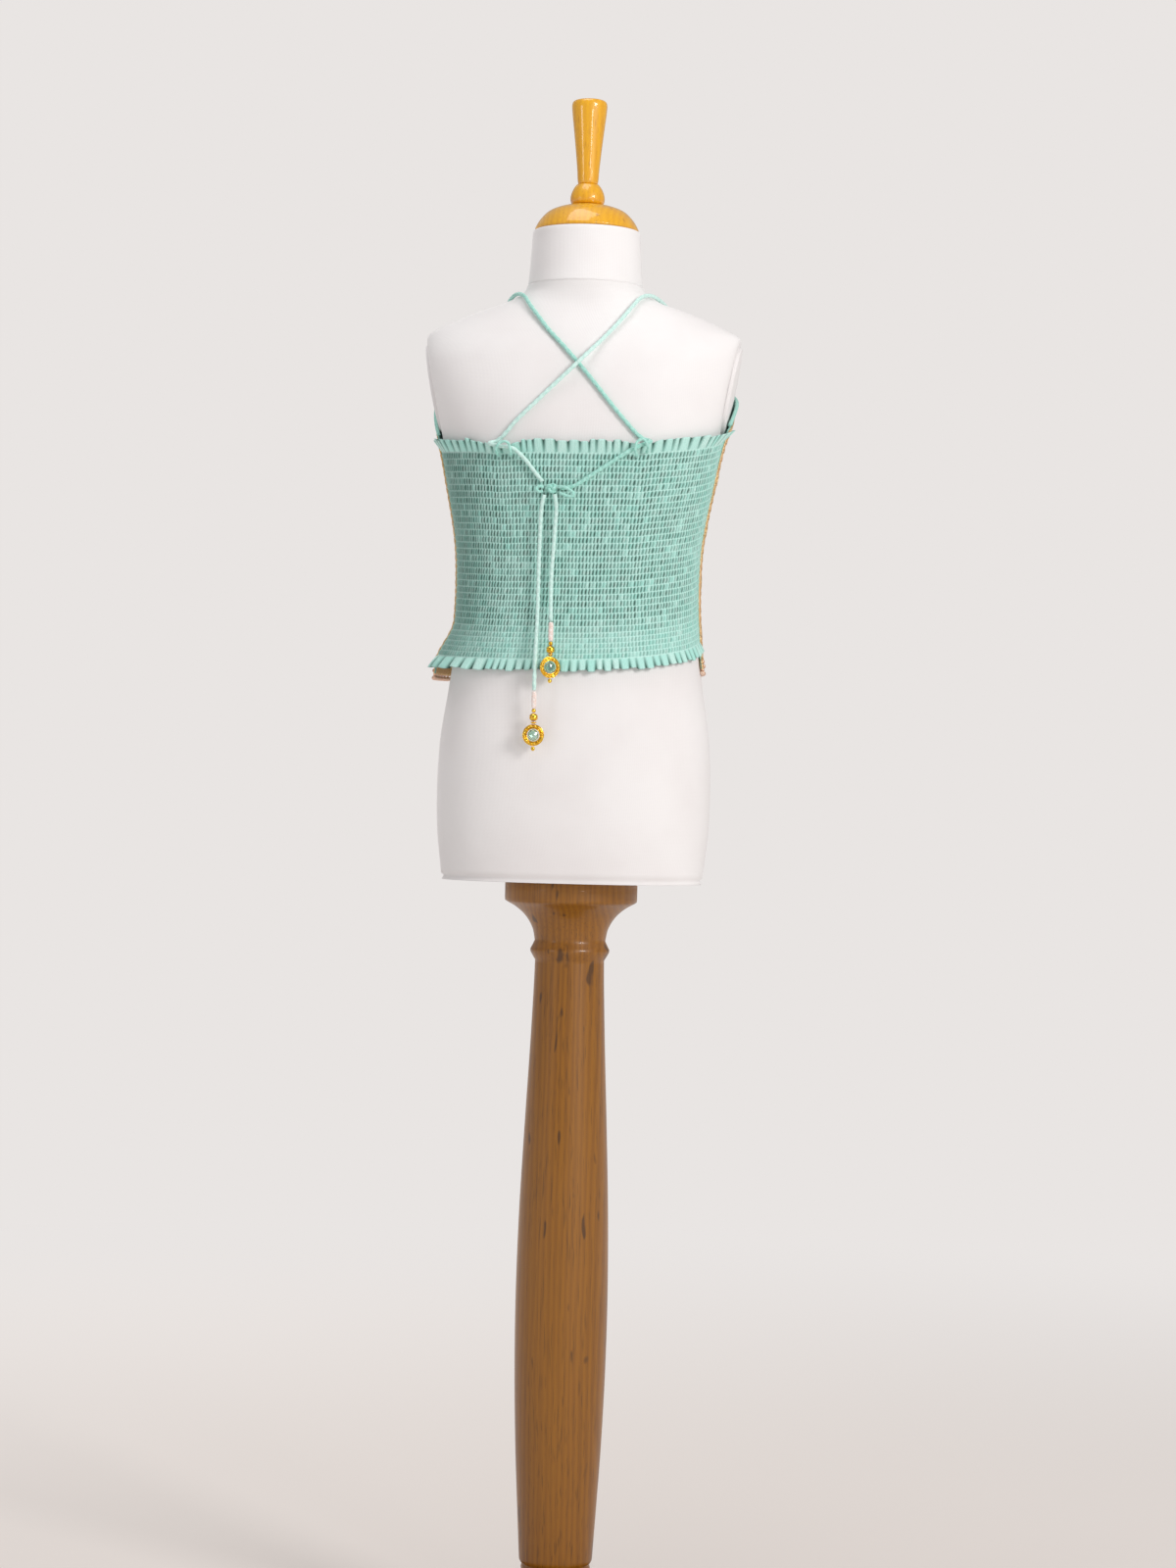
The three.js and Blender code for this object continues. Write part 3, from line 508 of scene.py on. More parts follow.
def cord_cloth(name, light, dark, pitch):
    """A rouleau of bias-cut cloth, turned inside out: fine ribs wind round it as it twists."""
    material, tree, shader = blank(name, Roughness=0.55, Sheen_Weight=0.3, Sheen_Roughness=0.4)
    laid = laid_place(tree)
    split = node(tree, "ShaderNodeSeparateXYZ", {"Vector": laid})
    angle = node(tree, "ShaderNodeMath", {0: split.outputs["Y"], 1: split.outputs["X"]}, operation="ARCTAN2")
    wound = node(tree, "ShaderNodeMath", {0: split.outputs["Z"], 1: 2 * math.pi / pitch},
                 operation="MULTIPLY")
    phase = node(tree, "ShaderNodeMath", {0: wound.outputs[0], 1: angle.outputs[0]}, operation="ADD")
    rib = node(tree, "ShaderNodeMath", {0: phase.outputs[0]}, operation="SINE")
    groove = spread_range(tree, rib.outputs[0], 0.4, 1.0, 0.0, 0.35)
    fleck = spread_range(tree, noise(tree, laid, 0.9, 4), 0.3, 0.7)
    colour = blend_colour(tree, fleck, rgba(light), rgba(dark))
    colour = blend_colour(tree, groove, colour, rgba(dark))
    tree.links.new(colour, shader.inputs["Base Color"])
    bumped(tree, shader, rib.outputs[0], 0.0003, 0.5)
    return material


def zari(name, low, high, blush):
    """Zari: gilt metal foil wound on thread, so it glints grain by grain, pinkish gold."""
    material, tree, shader = blank(name, Metallic=0.75, Roughness=0.36)
    place = node(tree, "ShaderNodeTexCoord").outputs["Object"]
    grain = spread_range(tree, noise(tree, place, 900.0, 2), 0.35, 0.65)
    patches = spread_range(tree, noise(tree, place, 60.0, 2), 0.35, 0.65)
    colour = blend_colour(tree, grain, rgba(low), rgba(high))
    colour = blend_colour(tree, patches, colour, rgba(blush))
    tree.links.new(colour, shader.inputs["Base Color"])
    bumped(tree, shader, grain, 0.0004, 0.8)
    return material


def gilt():
    """Gilt brass castings: polished, brighter and smoother in random patches of wear."""
    material, tree, shader = blank("gilt_brass", Metallic=1.0)
    place = node(tree, "ShaderNodeTexCoord").outputs["Object"]
    wear = spread_range(tree, noise(tree, place, 450.0, 3), 0.35, 0.65)
    tree.links.new(blend_colour(tree, wear, rgba("#DDA21F"), rgba("#FBD65E")), shader.inputs["Base Color"])
    tree.links.new(spread_range(tree, wear, 0, 1, 0.3, 0.16), shader.inputs["Roughness"])
    bumped(tree, shader, noise(tree, place, 700.0, 2), 0.0001, 0.5)
    return material


def mirror_glass():
    """Small embroidery mirrors: silvered glass, slightly uneven."""
    material, tree, shader = blank("shisha_mirror", Metallic=1.0, Roughness=0.06)
    place = node(tree, "ShaderNodeTexCoord").outputs["Object"]
    spots = spread_range(tree, noise(tree, place, 300.0, 2), 0.4, 0.7)
    tree.links.new(blend_colour(tree, spots, rgba("#DDE3E2"), rgba("#B9C4C2")), shader.inputs["Base Color"])
    bumped(tree, shader, noise(tree, place, 120.0, 1), 0.0004, 0.3)
    return material


def glass():
    """Clear faceted glass with a faint green tint."""
    material, tree, shader = blank("faceted_glass", Roughness=0.03, IOR=1.52, Transmission_Weight=0.85,
                                   Coat_Weight=0.5, Coat_Roughness=0.03)
    place = node(tree, "ShaderNodeTexCoord").outputs["Object"]
    swirl = spread_range(tree, noise(tree, place, 250.0, 2), 0.35, 0.65)
    tree.links.new(blend_colour(tree, swirl, rgba("#CFE9DC"), rgba("#9FD0BC")), shader.inputs["Base Color"])
    return material


def jersey():
    """White polyester stretch jersey over the form: a fine matt knit, faintly soiled."""
    material, tree, shader = blank("white_jersey", Roughness=0.92, Sheen_Weight=0.25, Sheen_Roughness=0.5)
    place = node(tree, "ShaderNodeTexCoord").outputs["Object"]
    soil = spread_range(tree, noise(tree, place, 9.0, 4), 0.4, 0.75)
    tree.links.new(blend_colour(tree, soil, rgba("#EDEBEB"), rgba("#E4E0E0")), shader.inputs["Base Color"])
    # Knitted loops at 1.1 mm, coarser than the real 0.6 mm so that they show.
    wales = node(tree, "ShaderNodeTexWave", {"Vector": stretch(tree, place, (1, 1, 0.06)), "Scale": 290.0,
                                             "Distortion": 0.6, "Detail": 1.0}, bands_direction="DIAGONAL")
    courses = node(tree, "ShaderNodeTexWave", {"Vector": place, "Scale": 290.0, "Distortion": 0.6,
                                               "Detail": 1.0}, bands_direction="Z")
    knit = node(tree, "ShaderNodeMath", {0: wales.outputs["Fac"], 1: courses.outputs["Fac"]},
                operation="MULTIPLY")
    bumped(tree, shader, knit.outputs[0], 0.00012, 0.35)
    return material


def varnished(name, light, dark, knot, coat):
    """Turned hardwood under amber varnish: long grain up the post, with fine pores and flecks."""
    material, tree, shader = blank(name, Roughness=0.42, Coat_Weight=coat, Coat_Roughness=0.07,
                                   Specular_IOR_Level=0.5)
    place = node(tree, "ShaderNodeTexCoord").outputs["Object"]
    grain = node(tree, "ShaderNodeTexWave",
                 {"Vector": stretch(tree, place, (1, 0.35, 0.07)), "Scale": 70.0, "Distortion": 5.0,
                  "Detail": 3.0, "Detail Scale": 1.6}, bands_direction="X")
    pores = spread_range(tree, noise(tree, stretch(tree, place, (900, 900, 30)), 1.0, 2), 0.56, 0.7)
    flecks = spread_range(tree, noise(tree, stretch(tree, place, (120, 120, 34)), 1.0, 1), 0.7, 0.76)
    broad = spread_range(tree, noise(tree, stretch(tree, place, (16, 16, 2.5)), 1.0, 2), 0.35, 0.65)
    stripes = spread_range(tree, grain.outputs["Fac"], 0, 1, 0.2, 0.75)
    colour = blend_colour(tree, stripes, rgba(light), rgba(dark))
    colour = blend_colour(tree, spread_range(tree, broad, 0, 1, 0.0, 0.5), colour, rgba(light))
    colour = blend_colour(tree, spread_range(tree, pores, 0, 1, 0.0, 0.45), colour, rgba(knot))
    colour = blend_colour(tree, spread_range(tree, flecks, 0, 1, 0.0, 0.8), colour, rgba(knot))
    tree.links.new(colour, shader.inputs["Base Color"])
    bumped(tree, shader, pores, 0.00006, 0.4)
    return material


def wrap_thread():
    """Twisted silk thread wound tightly over the cord's end, blush and white by turns."""
    material, tree, shader = blank("wound_silk_thread", Roughness=0.6, Sheen_Weight=0.3)
    laid = laid_place(tree)
    fleck = spread_range(tree, noise(tree, laid, 1.3, 3), 0.35, 0.65)
    tree.links.new(blend_colour(tree, fleck, rgba("#FFFDFB"), rgba("#F0D3C7")), shader.inputs["Base Color"])
    bumped(tree, shader, noise(tree, stretch(tree, laid, (3, 3, 0.8)), 1.0, 2), 0.0002, 0.5)
    return material


class Materials:
    """The object's finishes, each made once and shared."""

    makers = {
        "shirred": shirred_cloth,
        "panel": panel_cloth,
        "cord": lambda: cord_cloth("mint_rouleau", "#BCE8DF", "#88CFBF", 5.0),
        "pale_cord": lambda: cord_cloth("pale_mint_rouleau", "#DDF5F0", "#B8E3D9", 6.0),
        "zari": lambda: zari("zari_thread", "#D6AA62", "#FFE9B8", "#F2CC9E"),
        "fringe": lambda: zari("blush_gilt_bead", "#DDB092", "#FFEBD8", "#F5CAB4"),
        "gilt": gilt,
        "mirror": mirror_glass,
        "glass": glass,
        "jersey": jersey,
        "finial": lambda: varnished("amber_varnished_beech", "#EDB004", "#DD9900", "#AE7200", 0.8),
        "post": lambda: varnished("honey_varnished_beech", "#976108", "#784803", "#452806", 0.2),
        "wrap": wrap_thread,
    }
    made = {}

    @classmethod
    def get(cls, key):
        if key not in cls.made:
            cls.made[key] = cls.makers[key]()
        return cls.made[key]


# ---- Sizes and colours that a user would change -----------------------------------------------

class CholiSizes(bpy.types.PropertyGroup):
    """The blouse's own sizes."""

    shirring_rows: IntProperty(
        name="Shirring rows", description="Rows of elastic stitching up the back", default=34, min=8, max=40)
    pucker_pitch: FloatProperty(
        name="Pucker pitch", description="Distance between the puckers along a row",
        default=0.00285, unit="LENGTH")
    cord_radius: FloatProperty(
        name="Cord radius", description="Half the thickness of the tie cord", default=0.0017, unit="LENGTH")
    motif_width: FloatProperty(
        name="Trellis width", description="Half the width of a cell of the embroidered trellis",
        default=0.0168, unit="LENGTH")
    motif_height: FloatProperty(
        name="Trellis height", description="Height of a cell of the embroidered trellis",
        default=0.042, unit="LENGTH")


class CholiStage(bpy.types.PropertyGroup):
    """The camera, the lights and the floor."""

    camera_distance: FloatProperty(
        name="Camera distance", description="From the stand's middle line", default=2.72, unit="LENGTH")
    camera_height: FloatProperty(
        name="Camera height", description="Above the floor", default=0.71, unit="LENGTH")
    camera_turn: FloatProperty(
        name="Camera turn", description="How far the camera stands to the wearer's right",
        default=math.radians(5.5), subtype="ANGLE")
    backdrop: FloatVectorProperty(
        name="Backdrop", description="Colour that the floor fades into", subtype="COLOR", size=3,
        default=linear("#E9E5E3"), min=0, max=1)


# ---- Stage --------------------------------------------------------------------------------------

def add_camera(stage):
    """A level camera behind the wearer, tipped a little about its own line of sight."""
    turn, tip = stage.camera_turn, math.radians(1.36)
    away = Vector((-math.sin(turn), math.cos(turn), 0))
    aim = Vector((-0.0116, -0.0011, stage.camera_height))
    location = away * stage.camera_distance + Vector((0, 0, stage.camera_height))
    back = (location - aim).normalized()
    level = Vector((0, 0, 1)).cross(back).normalized()
    right = level * math.cos(tip) + Vector((0, 0, 1)) * math.sin(tip)
    up = back.cross(right)
    data = bpy.data.cameras.new("camera")
    data.lens, data.sensor_width, data.sensor_fit = 76.5, 36.0, "AUTO"
    data.clip_start, data.clip_end = 0.05, 60
    camera = bpy.data.objects.new("camera", data)
    rotation = Matrix((right, up, back)).transposed().to_4x4()
    camera.matrix_world = Matrix.Translation(location) @ rotation
    bpy.context.scene.collection.objects.link(camera)
    bpy.context.scene.camera = camera


def add_light(name, place, aim, size, power, colour):
    """A soft square light pointed at a place."""
    data = bpy.data.lights.new(name, "AREA")
    data.shape, data.size, data.energy, data.color = "SQUARE", size, power, linear(colour)
    light = bpy.data.objects.new(name, data)
    light.location = place
    light.rotation_euler = (Vector(place) - Vector(aim)).to_track_quat("Z", "Y").to_euler()
    bpy.context.scene.collection.objects.link(light)
    return light


def add_world(colour):
    """Pale surroundings, dimmer as a light than as what is seen."""
    world = bpy.data.worlds.new("studio")
    world.use_nodes = True
    tree = world.node_tree
    tree.nodes.clear()
    seen = node(tree, "ShaderNodeBackground", {"Color": (*colour, 1), "Strength": 1.0})
    lit = node(tree, "ShaderNodeBackground", {"Color": (*colour, 1), "Strength": 0.5})
    path = node(tree, "ShaderNodeLightPath")
    mix = node(tree, "ShaderNodeMixShader", {0: path.outputs["Is Camera Ray"], 1: lit.outputs[0],
                                             2: seen.outputs[0]})
    node(tree, "ShaderNodeOutputWorld", {"Surface": mix.outputs[0]})
    bpy.context.scene.world = world


def add_floor(colour):
    """A wide pale floor that fades into the backdrop's colour away from the stand."""
    deselect()
    bpy.ops.mesh.primitive_circle_add(vertices=96, radius=14, fill_type="NGON", location=(0, 0, 0))
    floor = settle("floor")
    material = bpy.data.materials.new("studio_floor")
    material.use_nodes = True
    tree = material.node_tree
    tree.nodes.clear()
    place = node(tree, "ShaderNodeTexCoord").outputs["Object"]
    distance = node(tree, "ShaderNodeVectorMath", {0: place}, operation="LENGTH").outputs["Value"]
    fade = node(tree, "ShaderNodeMapRange", {"Value": distance, "From Min": 0.3, "From Max": 2.6},
                interpolation_type="SMOOTHSTEP").outputs[0]
    paint = node(tree, "ShaderNodeBsdfDiffuse", {"Color": rgba("#E8E2DE")})
    glow = node(tree, "ShaderNodeEmission", {"Color": (*colour, 1), "Strength": 1.0})
    mix = node(tree, "ShaderNodeMixShader", {0: fade, 1: paint.outputs[0], 2: glow.outputs[0]})
    node(tree, "ShaderNodeOutputMaterial", {"Surface": mix.outputs[0]})
    floor.data.materials.append(material)


class CHOLI_OT_stage(bpy.types.Operator):
    """Sets the camera, the soft studio lights and the pale floor"""

    bl_idname = "choli.stage"
    bl_label = "Stage"

    def execute(self, context):
        stage = context.scene.choli_stage
        add_camera(stage)
        context.scene.view_settings.view_transform = "Standard"
        colour = tuple(stage.backdrop)
        add_world(colour)
        add_floor(colour)
        add_light("key_light", (-2.3, 2.3, 1.9), (0, 0, 0.95), 0.9, 56, "#FFFCFA")
        add_light("fill_light", (2.4, 2.2, 1.2), (0, 0, 0.9), 0.6, 6, "#F2F6FF")
        add_light("streak_light", (-1.3, 2.6, 1.15), (0, 0, 1.0), 0.35, 4, "#FFFFFF")
        front = add_light("front_light", (1.2, -2.6, 1.9), (0, 0, 0.9), 1.4, 34, "#FFFCFA")
        front.visible_glossy = False                # it would edge the varnish with white
        add_light("top_light", (0.2, 0.4, 2.9), (0, 0, 1.0), 1.2, 14, "#FFFFFF")
        return {"FINISHED"}


# ---- Cords --------------------------------------------------------------------------------------

def cord_piece(name, route, radius, material, nodes, twist=7.0, oval=0.08):
    """A twisted rouleau along a route: its flattened section winds round as it goes."""
    path, along = smooth_route(route, 0.9)

    def size(ring, angle):
        wound = 2 * angle - 2 * math.pi * along[ring] / twist
        return radius * (1 - oval + oval * np.cos(wound))

    points, faces, laid = tube(path, size, 14)
    obj = mesh_object(name, points, faces, laid)
    finish(obj, Materials.get(material), "mint_cord", *nodes)
    return obj, path * MM, float(along[-1]) * MM


def knot_path():
    """A trefoil line, pulled in to the size of the knot."""
    t = np.linspace(0, 2 * math.pi, 96, endpoint=False)
    x = (2 + np.cos(3 * t)) * np.cos(2 * t)
    z = (2 + np.cos(3 * t)) * np.sin(2 * t)
    y = np.sin(3 * t)
    return np.stack([15.6 + x * 1.28, 81.6 + y * 1.9, 943.6 + z * 0.98], -1)


class CHOLI_OT_straps(bpy.types.Operator):
    """Runs the two straps over the shoulders to the knot, and ties the bow"""

    bl_idname = "choli.straps"
    bl_label = "Straps, knot and bow"

    def execute(self, context):
        radius = context.scene.choli_sizes.cord_radius / MM
        cord = Materials.get("cord")
        points, faces, laid = tube(knot_path(), lambda ring, angle: KNOT_RADIUS, 12, closed=True)
        knot = mesh_object("knot", points, faces, laid)
        finish(knot, cord, "mint_cord", "strap_knot")
        bows = [cord_piece(f"bow_loop_{side}", route, BOW_RADIUS, "cord", (f"bow_{side}",))[0]
                for side, route in (("right", BOW_RIGHT), ("left", BOW_LEFT))]
        for side, route, material, extras in (("right", STRAP_RIGHT, "pale_cord", (knot, bows[0])),
                                              ("left", STRAP_LEFT, "cord", (bows[1],))):
            piece, path, length = cord_piece(
                f"shoulder_strap_{side}", route, radius, material, (f"strap_{side}",))
        return {"FINISHED"}


# Each hanging ornament: its line, its heights and how far its ring is turned from the back.
LATKANS = {
    "right": dict(x=12.3, y=90.4, wrap_top=837, wrap_bottom=822, ball=815.3, ring=801.4, turn=28),
    "left": dict(x=24.3, y=91.2, wrap_top=782, wrap_bottom=768.8, ball=761.7, ring=747.6, turn=8),
}
RING_RADIUS, RING_THICK = 7.0, 1.6
WRAP_CORE, WRAP_THREAD = 1.45, 0.56     # radii of a wound end's core and of its threads


def wound_end(name, at, node_name):
    """Two threads wound round the cord's end, over a core that closes it."""
    low, high = at["wrap_bottom"], at["wrap_top"]
    t = np.linspace(0, 1, 220)
    parts = []
    taper = 1.55 - 0.35 * np.abs(2 * t - 1) ** 6
    for strand in (0.0, math.pi):
        angle = strand + 2 * math.pi * (high - low - 1) / 2.1 * t
        line = np.stack([at["x"] + taper * np.cos(angle), at["y"] + taper * np.sin(angle),
                         high - 0.5 - (high - low - 1) * t], -1)
        parts.append(tube(line, lambda ring, angle: WRAP_THREAD, 6, first_normal=(1, 0, 0)))
    core = [(at["x"], at["y"], z) for z in np.linspace(high, low, 5)]
    parts.append(tube(core, lambda ring, angle: WRAP_CORE, 12, first_normal=(1, 0, 0)))
    obj = mesh_object(name, *join(parts))
    return finish(obj, Materials.get("wrap"), "wrap_thread", node_name)


def ring_ornament(name, at, node_name):
    """A cast ring: rope-like granules all round, between two fine rims."""
    deselect()
    centre = Vector((at["x"], at["y"], at["ring"])) * MM
    facing = (math.pi / 2, 0, math.radians(at["turn"]))
    bpy.ops.mesh.primitive_torus_add(
        major_segments=64, minor_segments=12, location=centre, rotation=facing,
        major_radius=RING_RADIUS * MM, minor_radius=1.05 * MM)
    parts = [bpy.context.object]
    for radius, thick in ((RING_RADIUS + 1.15, 0.42), (RING_RADIUS - 1.5, 0.5)):
        bpy.ops.mesh.primitive_torus_add(
            major_segments=56, minor_segments=8, location=centre, rotation=facing,
            major_radius=radius * MM, minor_radius=thick * MM)
        parts.append(bpy.context.object)
    turn = Matrix.Rotation(math.radians(at["turn"]), 4, "Z")
    for i in range(16):
        angle = (i + 0.5) / 16 * 2 * math.pi
        offset = Vector((math.cos(angle), 0, math.sin(angle))) * RING_RADIUS * MM
        bpy.ops.mesh.primitive_uv_sphere_add(
            segments=12, ring_count=8, radius=1.42 * MM, location=centre + turn @ offset,
            rotation=(0, -angle + 0.6, math.radians(at["turn"])), scale=(1.0, 1.08, 0.72))
        parts.append(bpy.context.object)
    deselect()
    for part in parts:
        part.select_set(True)
    bpy.context.view_layer.objects.active = parts[0]
    bpy.ops.object.join()
    return finish(settle(name), Materials.get("gilt"), "gilt", node_name)


def faceted_drop(name, at, node_name):
    """A glass bead cut in flat facets, held inside the ring."""
    deselect()
    bpy.ops.mesh.primitive_ico_sphere_add(
        subdivisions=2, radius=1, location=Vector((at["x"], at["y"], at["ring"])) * MM,
        rotation=(0, 0, math.radians(at["turn"])), scale=Vector((4.4, 2.2, 4.6)) * MM)
    obj = settle(name)
    obj.data.shade_flat()
    return finish(obj, Materials.get("glass"), "glass_bead", node_name)


def latkan_pieces(side):
    """All the pieces of one ornament, from the wound end down."""
    at = LATKANS[side]
    centre = (at["x"], at["y"])
    bead_height = at["wrap_bottom"] - 1.9
    top = at["ring"] + RING_RADIUS + RING_THICK + 0.3
    drop = at["ring"] - RING_RADIUS - RING_THICK - 0.3 - 1.8
    bead = outline([(0, bead_height - 1.6), (0.9, bead_height - 1.6)],
                   [(0.9, bead_height - 1.6), (1.55, bead_height - 0.9), (1.7, bead_height),
                    (1.55, bead_height + 0.9), (0.9, bead_height + 1.6)],
                   [(0.9, bead_height + 1.6), (0, bead_height + 1.6)], spacing=0.3)
    z = at["ball"]
    ball = outline([(0, z - 3.1), (1.2, z - 3.05)],
                   [(1.2, z - 3.05), (2.65, z - 2.15), (3.4, z - 0.9), (3.45, z - 0.4)],
                   [(3.45, z - 0.4), (3.1, z - 0.15)], [(3.1, z - 0.15), (3.1, z + 0.15)],
                   [(3.1, z + 0.15), (3.45, z + 0.4)],
                   [(3.45, z + 0.4), (3.4, z + 0.9), (2.65, z + 2.15), (1.2, z + 3.05)],
                   [(1.2, z + 3.05), (0, z + 3.1)], spacing=0.3)
    cone = outline([(0, top), (1.3, top)], [(1.3, top), (1.7, top + 0.5), (2.35, top + 0.9)],
                   [(2.35, top + 0.9), (2.4, top + 1.5)], [(2.4, top + 1.5), (0, top + 1.8)], spacing=0.3)
    gold = Materials.get("gilt")
    pieces = [wound_end(f"thread_end_{side}", at, f"latkan_{side}_wrap")]
    for name, profile, solid in (("neck_bead", bead, "cap_bead"), ("waisted_ball", ball, "ball"),
                                 ("ring_cap", cone, "cone")):
        piece = spun(f"{name}_{side}", profile, centre, 28)
        pieces.append(finish(piece, gold, "gilt", f"latkan_{side}_{solid}"))
    pieces.append(ring_ornament(f"granulated_ring_{side}", at, f"latkan_{side}_ring"))
    pieces.append(faceted_drop(f"glass_bead_{side}", at, f"latkan_{side}_glass"))
    piece = soft_ball(f"drop_bead_{side}", (at["x"], at["y"], drop), (1.7, 1.7, 1.8), 20, 14)
    pieces.append(finish(piece, gold, "gilt", f"latkan_{side}_drop"))
    return pieces


class CHOLI_OT_tails(bpy.types.Operator):
    """Hangs the two tails from the knot, each with its beaded ornament"""

    bl_idname = "choli.tails"
    bl_label = "Tails and latkans"

    def execute(self, context):
        radius = context.scene.choli_sizes.cord_radius / MM
        for side, route in (("right", TAIL_RIGHT), ("left", TAIL_LEFT)):
            piece, path, length = cord_piece(f"tail_{side}_cord", route, radius, "pale_cord",
                                             (f"tail_{side}",))
            latkan_pieces(side)
        return {"FINISHED"}


# ---- Back panel ---------------------------------------------------------------------------------

def head_dip(t):
    """How far the straps press the heading down."""
    return sum(depth * hump(place, width, t) for place, width, depth in DIPS)


def head_curve(t):
    return 982.3 + (11.6 + 5.9 * np.sign(t)) * np.abs(t) ** 3


def head_height(turn):
    """The heading's height: higher at the wearer's right, dipped under the straps."""
    t = turn / SEAM_TURN
    return head_curve(t) - head_dip(t)


def head_line(turn):
    """The height of the stitching under the heading's frill."""
    t = turn / SEAM_TURN
    return head_curve(t) - 0.2 * head_dip(t) - HEAD_FRILL


def hem_height(turn):
    """The back hem's height, higher at the wearer's right."""
    t = turn / SEAM_TURN
    return 799 + (12.2 + 7.4 * np.sign(t)) * np.abs(t) ** 2.5 + 1.6 * t * (1 - t * t)


def shirred_out(turn, height):
    """How far the shirred part stands off the body: it flares out at the wearer's lower left."""
    low = smooth(38, 3, height - hem_height(turn))
    return BACK_EASE + 11.5 * low * smooth(-0.5, -1, turn / SEAM_TURN)


def back_out(turn, height):
    """How far the back's inner face stands off the body, its pleats left out."""
    t = turn / SEAM_TURN
    line, hem = head_line(turn), hem_height(turn) + HEM_FRILL
    up = np.clip((height - line) / (head_height(turn) - line), 0, 1)
    down = np.clip((hem - height) / HEM_FRILL, 0, 1)
    head_flare = 2.2 + 2 * smooth(-0.7, -1, t) + 3.5 * smooth(0.7, 1, t)
    hem_flare = 3.4 - 1.4 * smooth(0.4, 1, t)
    return shirred_out(turn, height) + up * head_flare + down * hem_flare


def pleat_count(rng, distance, width_at):
    """Pleat number, with its fraction, at each distance; widths are drawn one by one."""
    edges = [0.0]
    while edges[-1] < distance[-1]:
        low, high = width_at(edges[-1] / distance[-1])
        edges.append(edges[-1] + rng.uniform(low, high))
    return np.interp(distance, edges, np.arange(len(edges))), len(edges)


